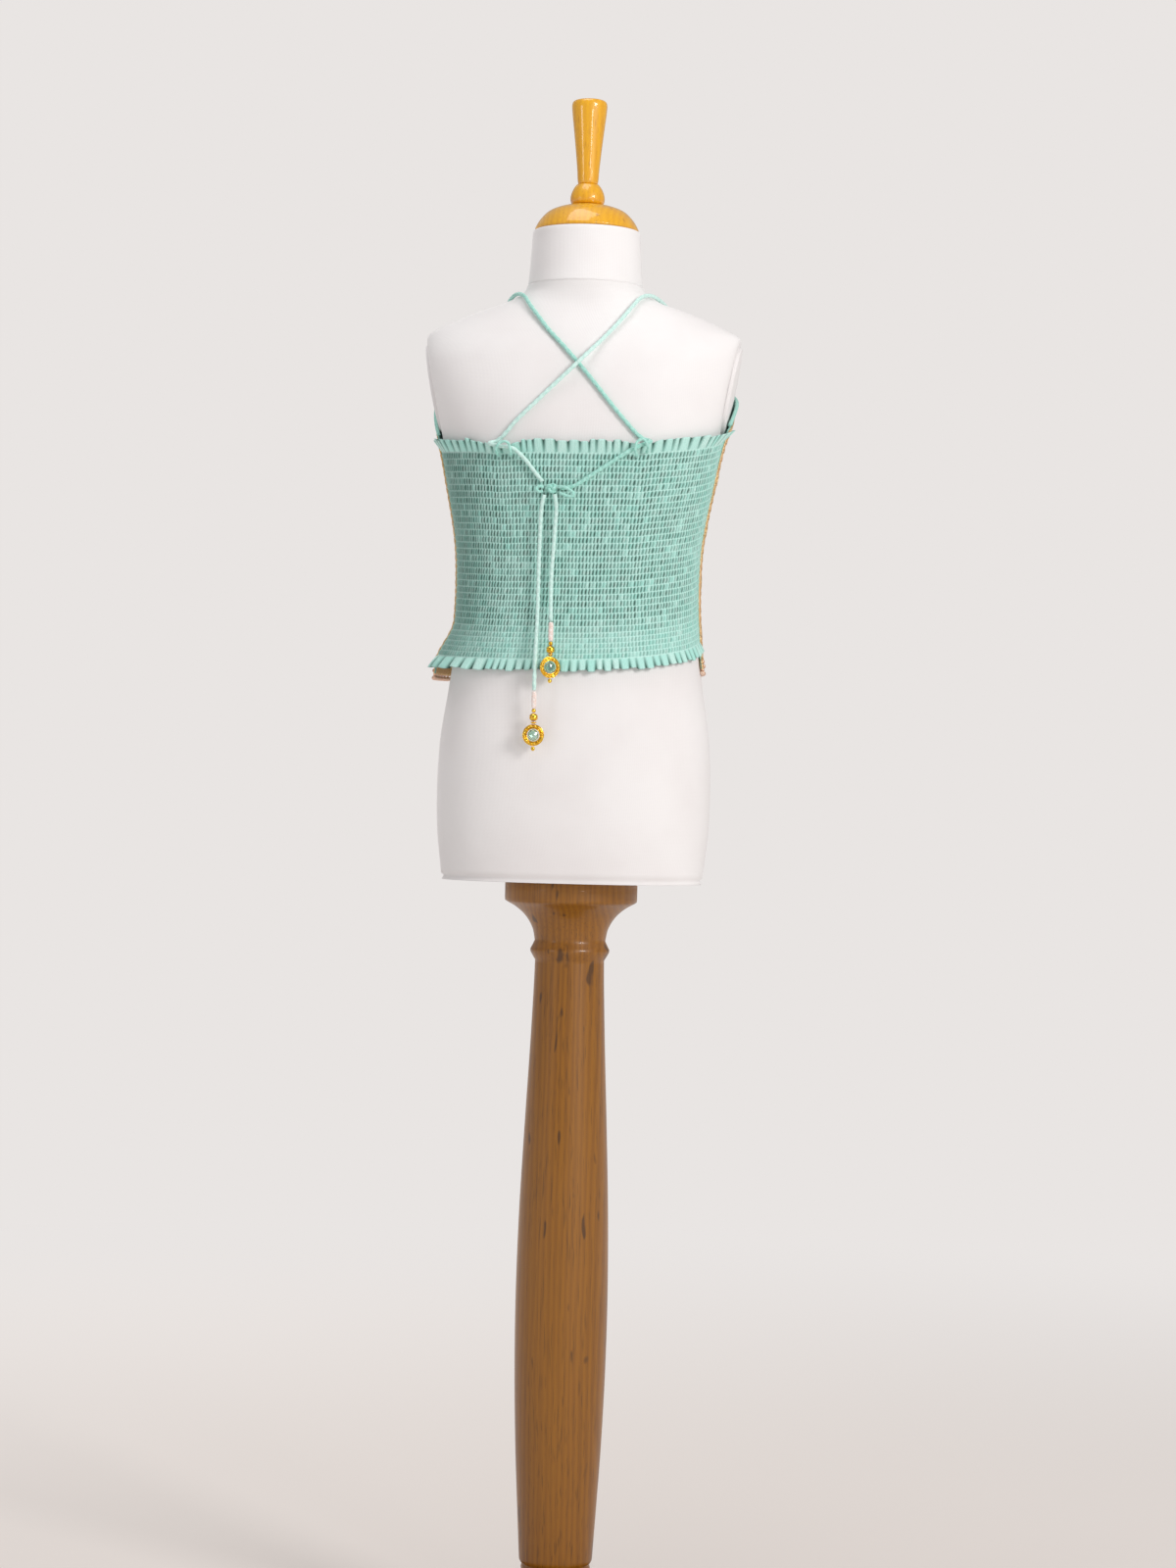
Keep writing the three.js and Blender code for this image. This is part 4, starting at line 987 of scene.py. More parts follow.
class Shirring:
    """The back's fine surface, worked out row by row from the hem up."""

    GAP_AT = np.array([0.0, 0.19, 0.5, 0.81])       # columns of one pucker
    ROW_AT = np.array([0.0, 0.15, 0.38, 0.62, 0.85])    # rows between two lines of stitching
    FRILL_ROWS = 8
    LEFT_PAINTED_SHADE = 0.34        # painted shade: how much darker the cloth is made towards the wearer's left, away from the key light

    def __init__(self, sizes):
        self.rng = np.random.default_rng(5)
        turns, distance = turns_by_distance(-SEAM_TURN, SEAM_TURN)
        self.width = distance[-1]
        self.puckers = int(round(self.width / (sizes.pucker_pitch / MM)))
        places = (np.arange(self.puckers)[:, None] + self.GAP_AT).ravel() / self.puckers
        self.at = np.append(places, 1.0) * self.width
        self.turn = np.interp(self.at, distance, turns)
        self.cells = sizes.shirring_rows - 1
        self.pitch = 2 * SEAM_TURN / self.puckers
        self.low = hem_height(self.turn) + HEM_FRILL
        self.high = head_line(self.turn)
        weights = np.ones(self.cells)
        weights[:5] = 0.82                          # the lowest rows are sewn closer
        self.edges = np.concatenate([[0], np.cumsum(weights)]) / weights.sum()

    def across(self, values):
        """Repeats one value a pucker over its columns, changing between puckers at the gaps."""
        number = (np.arange(len(self.turn)) + 1) // len(self.GAP_AT)
        return values[..., np.minimum(number, values.shape[-1] - 1)]

    def body(self):
        """The puckers between the frills: turns, heights, lift, and the fold colours."""
        cells, puckers, rng = self.cells, self.puckers, self.rng
        step = len(self.ROW_AT)
        rows = cells * step + 1
        fine = np.append(np.repeat(np.arange(cells), step), cells - 1)
        inside = np.append(np.tile(self.ROW_AT, cells), 1.0)
        rise = self.edges[fine] + inside * (self.edges[fine + 1] - self.edges[fine])
        profile = len(self.GAP_AT)
        gap = np.append(np.tile([1.0, 0.58, 0.0, 0.58], puckers), 1.0)
        puff = np.append(np.tile([0.0, 0.85, 1.0, 0.85], puckers), 0.0)
        column = np.append(np.repeat(np.arange(puckers), profile), puckers)
        open_rows = np.isin(inside, (0.0, 1.0))
        deep = np.where(open_rows, 0.30, np.where(np.abs(inside - 0.5) > 0.3, 0.85, 1.0))
        bulge = np.where(open_rows, 0.0, np.where(np.abs(inside - 0.5) > 0.3, 0.6, 1.0))
        lower = smooth(7, 3, fine)                  # the lowest rows are finer
        strength = rng.uniform(0.62, 1.1, (cells, puckers + 2))
        strength[rng.random((cells, puckers + 2)) < 0.07] *= 0.35
        jitter = rng.uniform(-0.13, 0.13, (cells, puckers + 2))
        size = rng.uniform(0.7, 1.15, (cells, puckers + 2))
        gaps = strength[fine][:, column]
        weak = 1 - 0.45 * lower[:, None]
        shift = (jitter[fine][:, column] * bulge[:, None]
                 + 0.26 * (inside - 0.5)[:, None] * (bulge > 0)[:, None])
        turn = self.turn[None, :] + shift * self.pitch
        turn[:, 0], turn[:, -1] = self.turn[0], self.turn[-1]
        height = self.low[None, :] + (self.high - self.low)[None, :] * rise[:, None]
        lift = (1.2 + 0.7 * bulge[:, None] * puff[None, :] * self.across(size)[fine]
                - 1.0 * gap[None, :] * deep[:, None] * gaps * weak)
        wave = 0.12 * np.sin(self.at[None, :] * 0.21 + fine[:, None] * 1.7)
        height = height + wave * bulge[:, None]
        # Painted shade in the gaps between the puckers, faint on the stitching rows.
        dark = gap[None, :] * np.where(open_rows, 0.12, deep)[:, None] * np.minimum(gaps * 1.05, 1) * weak
        # Painted shade towards the wearer's left, away from the key light, at a given strength; the gathers
        # themselves are no closer there.
        left = self.LEFT_PAINTED_SHADE * smooth(-0.35, -0.9, self.turn / SEAM_TURN)
        dark = np.minimum(dark + left[None, :] * (1 - 0.4 * dark), 1)
        thread = np.broadcast_to(open_rows[:, None] * 0.85, (rows, len(self.turn)))
        tint = self.across(rng.random((cells, puckers + 2)))[fine] * puff[None, :] * bulge[:, None]
        return turn, height, lift, np.stack([dark, thread * (1 - 0.5 * gap), tint, np.ones_like(dark)], -1)

    def frill(self, is_head):
        """A frill's rows, from its stitching out to its free edge."""
        rng = self.rng
        steps = self.FRILL_ROWS
        far = (np.arange(1, steps + 1) / steps)[:, None]
        t = self.turn / SEAM_TURN
        if is_head:
            pleats, count = pleat_count(rng, self.at, lambda share: (3.4, 9.2))
            depth, edge, base = 2.0 + 0 * t, head_height(self.turn), self.high
        else:
            pleats, count = pleat_count(
                rng, self.at, lambda share: (9.5, 13.5) if share < 0.22 else (5.2, 7.6))
            depth, edge, base = 1.8 + 1.9 * smooth(-0.4, -0.75, t), hem_height(self.turn), self.low
        number = np.floor(pleats).astype(int)
        within = pleats - number
        near = np.minimum(within, 1 - within)
        gap = np.exp(-(near / 0.13) ** 2)
        proud = rng.uniform(0.7, 1.1, count + 1)[number]
        drop = rng.uniform(-1.2, 0.8, count + 1)[number]
        lean = rng.uniform(0.2, 0.9, count + 1)[number]
        zigzag = 0 * t if is_head else 1.5 * smooth(-0.4, -0.7, t) * (0.5 - within)
        turn = self.turn[None, :] + far * 0.09 * np.sin(2 * math.pi * within) * 360 / self.width
        sign = 1 if is_head else -1
        height = base + (edge - base) * far + sign * far * (drop - 0.7 * gap) + far ** 2 * zigzag
        lift = (1.15 + depth * far ** 0.7 * (1 - gap) * proud + 0.9 * far * lean * (within - 0.5) * (1 - gap)
                - 0.45 * gap * far + 0.25 * np.sin(3 * self.at + 2 * number) * far * (1 - gap))
        # Painted shade in the gaps between the pleats, deeper towards the free edge.
        dark = np.clip(gap * (0.35 + 0.75 * far), 0, 1)
        tint = rng.random(count + 1)[number] * (1 - gap) + 0 * far
        thread = 0.45 * (far > 0.99) * (1 - gap)
        folds = np.stack([dark, thread + 0 * dark, tint, np.ones_like(dark)], -1)
        return turn + 0 * height, height, lift, folds

    def grids(self):
        """Outer and inner points, the flat places and the fold colours."""
        hem, body, head = self.frill(False), self.body(), self.frill(True)
        turn, height, lift, folds = (
            np.concatenate([hem[k][::-1], body[k], head[k]]) for k in range(4))
        out = back_out(turn, height)
        outer = body_point(turn, height, out + lift)
        steps = self.FRILL_ROWS
        middle = np.linspace(steps, len(turn) - steps - 1, 12).astype(int)
        middle = steps + (middle - steps) // len(self.ROW_AT) * len(self.ROW_AT)
        chosen = np.concatenate([np.arange(steps), middle, np.arange(len(turn) - steps, len(turn))])
        thin = np.where((chosen < steps) | (chosen >= len(turn) - steps), 0.9, 0)[:, None]
        inner_lift = np.where(thin > 0, lift[chosen] - thin, 0.02)
        inner = body_point(turn[chosen], height[chosen], out[chosen] + inner_lift)
        laid = np.stack([self.at[None, :] + 0 * height, height, 0 * height], -1)
        flat = np.concatenate([laid.reshape(-1, 3), laid[chosen].reshape(-1, 3)])
        # The inner face gets painted shade: a quarter of the way to deep green, plus 0.4 of the outer face's
        # painted shade, and no thread.
        shaded_inner_folds = folds[chosen] * np.array([0.4, 0, 1, 1]) + np.array([0.25, 0, 0, 0])
        return outer, inner, flat, np.concatenate([folds.reshape(-1, 4), shaded_inner_folds.reshape(-1, 4)])


class CHOLI_OT_back(bpy.types.Operator):
    """Makes the shirred back with its frilled heading and hem, and the two small loops"""

    bl_idname = "choli.back"
    bl_label = "Shirred back"

    def execute(self, context):
        shirring = Shirring(context.scene.choli_sizes)
        outer, inner, laid, folds = shirring.grids()
        points, faces = shell(outer, inner)
        obj = mesh_object("shirred_back", points, faces, laid, folds)
        finish(obj, Materials.get("shirred"), "mint_cloth", "back_panel")
        loops = [cord_piece(f"strap_loop_{side}_cord", route, LOOP_RADIUS, "cord",
                            (f"strap_loop_{side}",))[0]
                 for side, route in (("left", LOOP_LEFT), ("right", LOOP_RIGHT))]
        return {"FINISHED"}


# ---- Front --------------------------------------------------------------------------------------

FRONT_LIFTS = (1.55, 0.3)       # the front panel's outer and inner faces, beyond front_out
UNCREASED = 0.6                 # a face lifted less than this takes no creases
LACE_HEIGHT = 14                # the hem's beaded band reaches this far above front_hem
DEGREE_WIDTH = 1.7              # about a degree's width round the body
ARM_FLAT = dict(bottom=975.0, reach=111.0, growth=0.056, power=1.25)


def arm_reach(height):
    """How far out the nearly flat cut at each arm is."""
    above = np.maximum(height - ARM_FLAT["bottom"], 0)
    return ARM_FLAT["reach"] + ARM_FLAT["growth"] * above ** ARM_FLAT["power"]


def drawn_in(x, limit):
    """Places across the body, eased in to a limit each side of the middle."""
    over = np.abs(x) - limit
    drawn = np.where(over > ARM_SOFT, over,
                     np.where(over > -ARM_SOFT, (over + ARM_SOFT) ** 2 / (4 * ARM_SOFT), 0))
    return x - np.sign(x) * drawn


# Creases that drag from the straps and the side seams: (away, height) at each end, depth, width.
CREASES = [
    ((70, 985), (30, 905), 0.55, 4.5), ((76, 960), (44, 880), 0.5, 4.0), ((80, 925), (56, 860), 0.55, 3.6),
    ((78, 815), (40, 858), 0.5, 4.0), ((66, 805), (30, 842), 0.4, 4.0),
]


def front_hem(turn):
    return 796 - 4.2 * np.sin(np.radians(turn - 180))


def front_top(turn):
    """The front's upper edge: a scooped neck between the straps, and an armhole each side."""
    away = np.abs(turn - 180)
    neck = NECK_HEIGHT + (STRAP_HEIGHT - NECK_HEIGHT) * (np.minimum(away, STRAP_TURN) / STRAP_TURN) ** 2.1
    underarm = head_height(np.where(turn < 180, SEAM_TURN, -SEAM_TURN))
    t = np.clip((away - STRAP_TURN) / (180 - FRONT_SEAM - STRAP_TURN), 0, 1)
    return np.where(away <= STRAP_TURN, neck, STRAP_HEIGHT - (STRAP_HEIGHT - underarm) * t ** 1.7)


def front_out(turn, height):
    """How far the front stands off the body, its lifts left out; at each side it meets the back."""
    away = np.abs(turn - 180)
    waist_span = 3.2 * hump(868, 40, height) * smooth(88, 60, away)
    hem_ease = 2.2 * smooth(830, 795, height) * smooth(88, 60, away)
    drag = (0.6 * (1 + np.sin(np.radians(away * 9))) * smooth(900, 1010, height)
            * smooth(12, 30, away) * smooth(72, 55, away))
    own = FRONT_EASE + waist_span + hem_ease + drag
    seam = shirred_out(np.where(turn < 180, SEAM_TURN, -SEAM_TURN), height)
    return 0.7 * smooth(955, 1000, height) + own + (seam - own) * smooth(58, 90, away)


def front_point(turn, height, out):
    """A point on the front, drawn in where it would stand proud of the cut at an arm."""
    point = body_point(turn, height, out)
    point[..., 0] = drawn_in(point[..., 0], arm_reach(height) + ARM_ROOM + out)
    return point


def crease_lift(turn, height):
    """Soft troughs beside low ridges, the same on both sides."""
    away = np.abs(turn - 180)
    total = 0 * (away + height)
    for (a0, z0), (a1, z1), depth, width in CREASES:
        run, rise = (a1 - a0) * DEGREE_WIDTH, z1 - z0
        length = math.hypot(run, rise)
        x, z = (away - a0) * DEGREE_WIDTH, height - z0
        along = np.clip((x * run + z * rise) / length ** 2, 0, 1)
        off = (x * rise - z * run) / length
        fade = np.sin(math.pi * along) ** 0.8
        total = total + depth * fade * (np.exp(-((off - width) / width) ** 2) - np.exp(-(off / width) ** 2))
    return total


FRONT_TABLE = turns_by_distance(FRONT_SEAM, 360 - FRONT_SEAM)


def front_turn(across):
    """The turn at a distance from the centre front, in millimetres to the wearer's left."""
    turns, distance = FRONT_TABLE
    middle = np.interp(180, turns, distance)
    return np.interp(across + middle, distance, turns)


def front_across(turn):
    turns, distance = FRONT_TABLE
    return np.interp(turn, turns, distance) - np.interp(180, turns, distance)


def on_front(across, height, lift):
    """Points on the front's outer face, lifted off it."""
    turn = front_turn(across)
    return front_point(turn, height, front_out(turn, height) + crease_lift(turn, height)
                       + FRONT_LIFTS[0] + lift)


def front_grid(rows, columns, low, high, first, last, lift):
    """A grid over a stretch of the front: low and high are heights as functions of the turn."""
    turn = np.linspace(first, last, columns)[None, :]
    rise = np.linspace(0, 1, rows)[:, None]
    height = low(turn) + (high(turn) - low(turn)) * rise
    out = front_out(turn, height) + crease_lift(turn, height) * (lift > UNCREASED) + lift
    laid = np.stack([front_across(turn) + 0 * height, height, 0 * height], -1)
    return front_point(turn + 0 * height, height, out), laid


def front_band(name, rows, columns, low, high, first, last, lifts, material, slot, node_name):
    """A closed strip over the front between two lifts."""
    (outer, laid), (inner, _) = (
        front_grid(rows, columns, low, high, first, last, lift) for lift in lifts)
    points, faces = shell(outer, inner)
    obj = mesh_object(name, points, faces, np.concatenate([laid.reshape(-1, 3)] * 2))
    return finish(obj, Materials.get(material), slot, *node_name)


def dome(radius, height, sides):
    """A low closed dome on the flat: points (across, up, lift) and faces."""
    angle = np.arange(sides) / sides * 2 * math.pi
    circle = np.stack([np.cos(angle), np.sin(angle)], -1)
    foot = np.column_stack([circle * radius, np.zeros(sides)])
    shoulder = np.column_stack([circle * radius * 0.72, np.full(sides, height * 0.75)])
    points = np.vstack([foot, shoulder, [[0, 0, height]]])
    faces = [tuple(range(sides))[::-1]]
    for i in range(sides):
        j = (i + 1) % sides
        faces += [(i, j, sides + j, sides + i), (sides + i, sides + j, 2 * sides)]
    return points, faces


def round_bead(radius, sides=10, rings=6):
    """A small closed ball: points (across, up, lift) and faces."""
    tilt = np.linspace(0, math.pi, rings + 1)[1:-1]
    angle = np.arange(sides) / sides * 2 * math.pi
    body = [(radius * math.sin(a) * math.cos(b), radius * math.sin(a) * math.sin(b), radius * math.cos(a))
            for a in tilt for b in angle]
    points = np.array([(0, 0, radius)] + body + [(0, 0, -radius)])
    faces = []
    for i in range(sides):
        j = (i + 1) % sides
        faces.append((0, 1 + i, 1 + j))
        for ring in range(rings - 2):
            a, b = 1 + ring * sides, 1 + (ring + 1) * sides
            faces.append((a + i, b + i, b + j, a + j))
        last = 1 + (rings - 2) * sides
        faces.append((last + i, len(points) - 1, last + j))
    return points, faces


def moved(shape, across, up, lift=0.0):
    return shape[0] + np.array([across, up, lift]), shape[1]


def flat_tube(line, radius, sides=5, closed=False):
    """A thread laid on the flat along a line of (across, up) points."""
    line = np.asarray(line, float)
    path = np.column_stack([line, np.full(len(line), radius * 0.8)])
    points, faces, _ = tube(path, lambda ring, angle: radius, sides, closed)
    return points, faces


def scroll(side):
    """A curl of thread beside the stem."""
    t = np.linspace(0, 1, 13)
    angle = math.pi * (0.5 + 2.3 * t)
    radius = 2.7 - 2.0 * t
    across = 3.1 - radius * np.cos(angle)
    return flat_tube(np.column_stack([side * across, -8.3 + radius * np.sin(angle)]), 0.42, 4)


def motif():
    """One flower: scalloped surround, stem, two curls and three drops, as (across, up, lift)."""
    ring = np.arange(20) / 20 * 2 * math.pi
    parts = [flat_tube(np.column_stack([4.1 * np.cos(ring), 4.1 * np.sin(ring)]), 0.75, 5, closed=True)]
    for i in range(13):
        angle = math.radians(-60 + i * 25)
        parts.append(moved(dome(1.25, 0.9, 6), 6.1 * math.cos(angle), 6.1 * math.sin(angle)))
    stem = [(0, -5.4), (0.25, -7.6), (-0.1, -10), (0, -12.6)]
    parts.append(flat_tube(stem, 0.5, 4))
    parts += [scroll(1), scroll(-1)]
    for across, up in ((0, -14), (-2.6, -12.3), (2.6, -12.3), (-5.6, -5.2), (5.6, -5.2)):
        parts.append(moved(dome(1.0, 0.8, 6), across, up))
    return join(parts)[:2]


def motif_places(width, height):
    """Centres of the trellis's cells that hold a whole motif clear of the edges."""
    places = []
    for column in range(-11, 12):
        across = column * width
        start = 792 + (height / 2 if column % 2 else 0)
        for step in range(1, 8):
            up = start + step * height
            turn = front_turn(across)
            inside = abs(across) < FRONT_TABLE[1][-1] / 2 - 15
            roomy = all(front_top(front_turn(across + d)) - up > 10.5 for d in (-6, 0, 6))
            if inside and roomy and up - front_hem(turn) > 30:
                places.append((across, up))
    return places


def trellis_lines(width, height):
    """The wavy threads between the motifs, cut where they would leave the panel."""
    limit = FRONT_TABLE[1][-1] / 2 - 9
    lines = []
    for number in range(-11, 11):
        up = np.arange(808, 1046, 1.9)
        phase = 2 * math.pi * (up - 792) / height + (0 if number % 2 else math.pi)
        across = (number + 0.5) * width + width / 2 * 0.93 * np.cos(phase)
        turn = front_turn(across)
        good = (up < front_top(turn) - 3.5) & (up > front_hem(turn) + LACE_HEIGHT) & (np.abs(across) < limit)
        run = []
        for a, z, ok in zip(across, up, good):
            if ok:
                run.append((a, z))
            if run and (not ok or z >= 1044):
                if len(run) > 4:
                    lines.append(run)
                run = []
    return lines


class CHOLI_OT_front(bpy.types.Operator):
    """Makes the front panel with its bindings and its embroidery"""

    bl_idname = "choli.front"
    bl_label = "Embroidered front"

    def execute(self, context):
        sizes = context.scene.choli_sizes
        width, height = sizes.motif_width / MM, sizes.motif_height / MM
        panel = front_band("embroidered_front", 84, 170, lambda turn: front_hem(turn) + FRINGE, front_top,
                           *FRONT_ENDS, FRONT_LIFTS, "panel", "mint_cloth", ("front_panel",))
        parts = [self.embroidery(width, height), self.mirrors(width, height)]
        parts += self.bindings()
        parts += self.trims()
        return {"FINISHED"}

    def embroidery(self, width, height):
        """The motifs, the trellis and its sequins, as one joined mesh laid on the panel."""
        flower = motif()
        parts = [moved(flower, across, up) for across, up in motif_places(width, height)]
        for line in trellis_lines(width, height):
            parts.append(flat_tube(line, 0.5, 4))
            parts += [moved(dome(0.85, 0.55, 6), a, z) for a, z in line[2:-2:3]]
        points, faces, _ = join(parts)
        points = on_front(points[:, 0], points[:, 1], points[:, 2] - 0.05)
        obj = mesh_object("zari_embroidery", points, faces)
        return finish(obj, Materials.get("zari"), "zari_trim")

    def mirrors(self, width, height):
        """A round mirror at the middle of each motif."""
        disc = dome(3.7, 0.45, 16)
        points, faces, _ = join([moved(disc, *place) for place in motif_places(width, height)])
        obj = mesh_object("motif_mirrors", on_front(points[:, 0], points[:, 1], points[:, 2]), faces)
        return finish(obj, Materials.get("mirror"), "zari_trim")

    def bindings(self):
        """Rouleau bindings along the neck and the armholes."""
        neck = (180 - STRAP_TURN + 2, 180 + STRAP_TURN - 2)
        made = []
        for node_name, first, last, count in (
                ("neck_binding", *neck, 24),
                ("armhole_binding_right", FRONT_SEAM + 0.5, 180 - STRAP_TURN - 2, 14),
                ("armhole_binding_left", 180 + STRAP_TURN + 2, 360 - FRONT_SEAM - 0.5, 14)):
            turn = np.linspace(first, last, count + 1)
            top = front_top(turn)
            slope = (front_top(turn + 0.5) - front_top(turn - 0.5)) / DEGREE_WIDTH
            route = front_point(turn, top, front_out(turn, top) + CLOTH / 2 + 0.3)
            route[:, 2] = top + 1.9 * np.hypot(1, slope)
            name = node_name.replace("binding", "piping")
            made.append(cord_piece(name, route, PIPING_RADIUS, "cord", (node_name,), oval=0.03)[0])
        return made

    def trims(self):
        """The beaded band along the hem and the metal-thread borders beside the seams."""
        made = [front_band("hem_lace", 8, 170, lambda turn: front_hem(turn) + FRINGE - 0.5,
                           lambda turn: front_hem(turn) + LACE_HEIGHT, *FRONT_ENDS, (2.3, 0.1), "zari",
                           "zari_trim", ("front_hem_trim",))]
        made.append(self.hem_beads())
        span = math.degrees(6.5 / 104)              # a border 6.5 mm wide, 104 mm from the middle
        right_end, left_end = FRONT_ENDS
        for side, first, last in (("right", right_end, right_end + span),
                                  ("left", left_end - span, left_end)):
            made.append(front_band(
                f"side_border_{side}", 110, 7, lambda turn: front_hem(turn) + LACE_HEIGHT + 0.2,
                lambda turn: front_top(turn) - 1, first, last, (2.4, 1.4), "zari", "zari_trim",
                (f"side_trim_{side}",)))
            made.append(self.border_knots(side, (first + last) / 2))
        return made

    def hem_beads(self):
        """A row of small beads on the lace, one of larger beads, and a fringe of round ones below."""
        half = FRONT_TABLE[1][-1] / 2
        parts = []
        rows = ((11.6, 1.2, 2.7, 0.8, False), (8.0, 1.6, 3.4, 0.8, False),
                (5.0, 1.2, 4.1, -0.2, True), (2.1, 2.0, 4.1, -0.2, True))
        for above, radius, pitch, lift, is_round in rows:
            count = int(2 * (half - 1) / pitch)
            shape = round_bead(radius) if is_round else dome(radius, radius * 0.9, 8)
            for i in range(count + 1):
                across = -half + 1 + i * 2 * (half - 1) / count
                up = front_hem(front_turn(across)) + above
                parts.append(moved(shape, across, float(up), lift))
        points, faces, _ = join(parts)
        obj = mesh_object("hem_beads", on_front(points[:, 0], points[:, 1], points[:, 2]), faces)
        return finish(obj, Materials.get("fringe"), "zari_trim")

    def border_knots(self, side, turn):
        """Slanted stitches of metal thread, crossed up the border."""
        across = float(front_across(turn))
        low, high = float(front_hem(turn)) + LACE_HEIGHT, float(front_top(turn)) - 4
        parts = []
        for i, up in enumerate(np.arange(low, high, 3.4)):
            lean = 1 if i % 2 else -1
            parts.append(flat_tube([(across - 2.6, up - 1.3 * lean), (across, up),
                                    (across + 2.6, up + 1.3 * lean)], 0.55, 5))
            parts.append(moved(dome(0.8, 0.9, 6), across, up + 1.7))
        points, faces, _ = join(parts)
        obj = mesh_object(f"border_knots_{side}", on_front(points[:, 0], points[:, 1], points[:, 2] + 0.7),
                          faces)
        return finish(obj, Materials.get("zari"), "zari_trim")


# ---- Dress form and stand -----------------------------------------------------------------------

def torso_mesh():
    """The torso's closed skin: body rings, cut nearly flat at the arms, with a rounded lower edge."""
    columns = 160
    heights = np.concatenate([np.linspace(635, 1060, 110), np.linspace(1062, 1115.3, 44)])
    turn = np.arange(columns) / columns * 360
    bend = np.radians(np.linspace(0, 90, 6))[:-1]
    foot = [body_point(turn, 630 + 5 * (1 - math.sin(b)), -3 * (1 - math.cos(math.pi / 2 - b)) - 0.01)
            for b in bend[::-1]]
    rings = []
    for height in heights:
        ring = body_point(turn, height, 0.0)
        if height > ARM_FLAT["bottom"]:
            ring[:, 0] = drawn_in(ring[:, 0], float(arm_reach(height)))
        rings.append(ring)
    rings = [r for r in foot if r[0, 2] < 634.9] + rings
    points = np.concatenate(rings)
    grid = np.arange(len(points)).reshape(len(rings), columns)
    a, b = grid[:-1], grid[1:]
    faces = np.stack([a, np.roll(a, -1, 1), np.roll(b, -1, 1), b], -1).reshape(-1, 4)
    faces = [tuple(int(n) for n in f) for f in faces]
    faces += [tuple(int(n) for n in grid[0][::-1]), tuple(int(n) for n in grid[-1])]
    return points, faces


def arm_plate(side):
    """A shallow oval plate on the flat of an arm, with a rounded rim and a sunk seam."""
    sign = -1 if side == "right" else 1
    middle, half_height, half_depth = 1031.0, 36.0, 25.0
    low, high = (float(arm_reach(middle + end * half_height)) for end in (-1, 1))
    lean = math.atan((high - low) / (2 * half_height))
    out = (low + high) / 2 - 0.4
    deselect()
    bpy.ops.mesh.primitive_cylinder_add(
        vertices=96, radius=1, depth=3 * MM, location=(sign * (out + 1.5) * MM, 0, middle * MM),
        rotation=(0, sign * (math.pi / 2 + lean), 0), scale=(half_height * MM, half_depth * MM, 1))
    obj = settle(f"arm_plate_{side}")
    bpy.ops.object.mode_set(mode="EDIT")
    mesh = bmesh.from_edit_mesh(obj.data)
    for face in mesh.faces:
        face.select_set(len(face.verts) > 4 and face.normal.x * sign > 0.5)
    bmesh.update_edit_mesh(obj.data)
    bpy.ops.mesh.inset(thickness=0.4 * MM)
    bpy.ops.mesh.inset(thickness=3.2 * MM)
    bpy.ops.transform.translate(value=(sign * 0.35 * MM, 0, 0))
    bpy.ops.mesh.inset(thickness=9 * MM)
    bpy.ops.transform.translate(value=(sign * 0.25 * MM, 0, 0))
    bpy.ops.object.mode_set(mode="OBJECT")
    bevel = obj.modifiers.new("rim", "BEVEL")
    bevel.width, bevel.segments, bevel.limit_method = 1.1 * MM, 4, "ANGLE"
    bevel.angle_limit = math.radians(50)
    bpy.ops.object.modifier_apply(modifier="rim")
    obj.data.shade_smooth()
    return finish(obj, Materials.get("jersey"), "form_jersey", f"form_arm_cap_{side}")


class CHOLI_OT_form(bpy.types.Operator):
    """Makes the limbless form: torso, neck block and arm plates"""

    bl_idname = "choli.form"
    bl_label = "Dress form"

    def execute(self, context):
        torso = mesh_object("form_body", *torso_mesh())
        finish(torso, Materials.get("jersey"), "form_jersey", "form_torso")
        block = outline([(0, 1114.9), (46.6, 1114.9)],
                        [(46.6, 1114.9), (46.95, 1115.3), (46.8, 1117), (45.9, 1126), (45, 1140),
                         (44.2, 1152), (43.9, 1158.4), (43.3, 1159.8), (42.2, 1160.1)],
                        [(42.2, 1160.1), (0, 1160.1)])
        neck = spun("neck_block", block, steps=128)
        finish(neck, Materials.get("jersey"), "form_jersey", "form_neck")
        arm_plate("left")
        arm_plate("right")
        return {"FINISHED"}


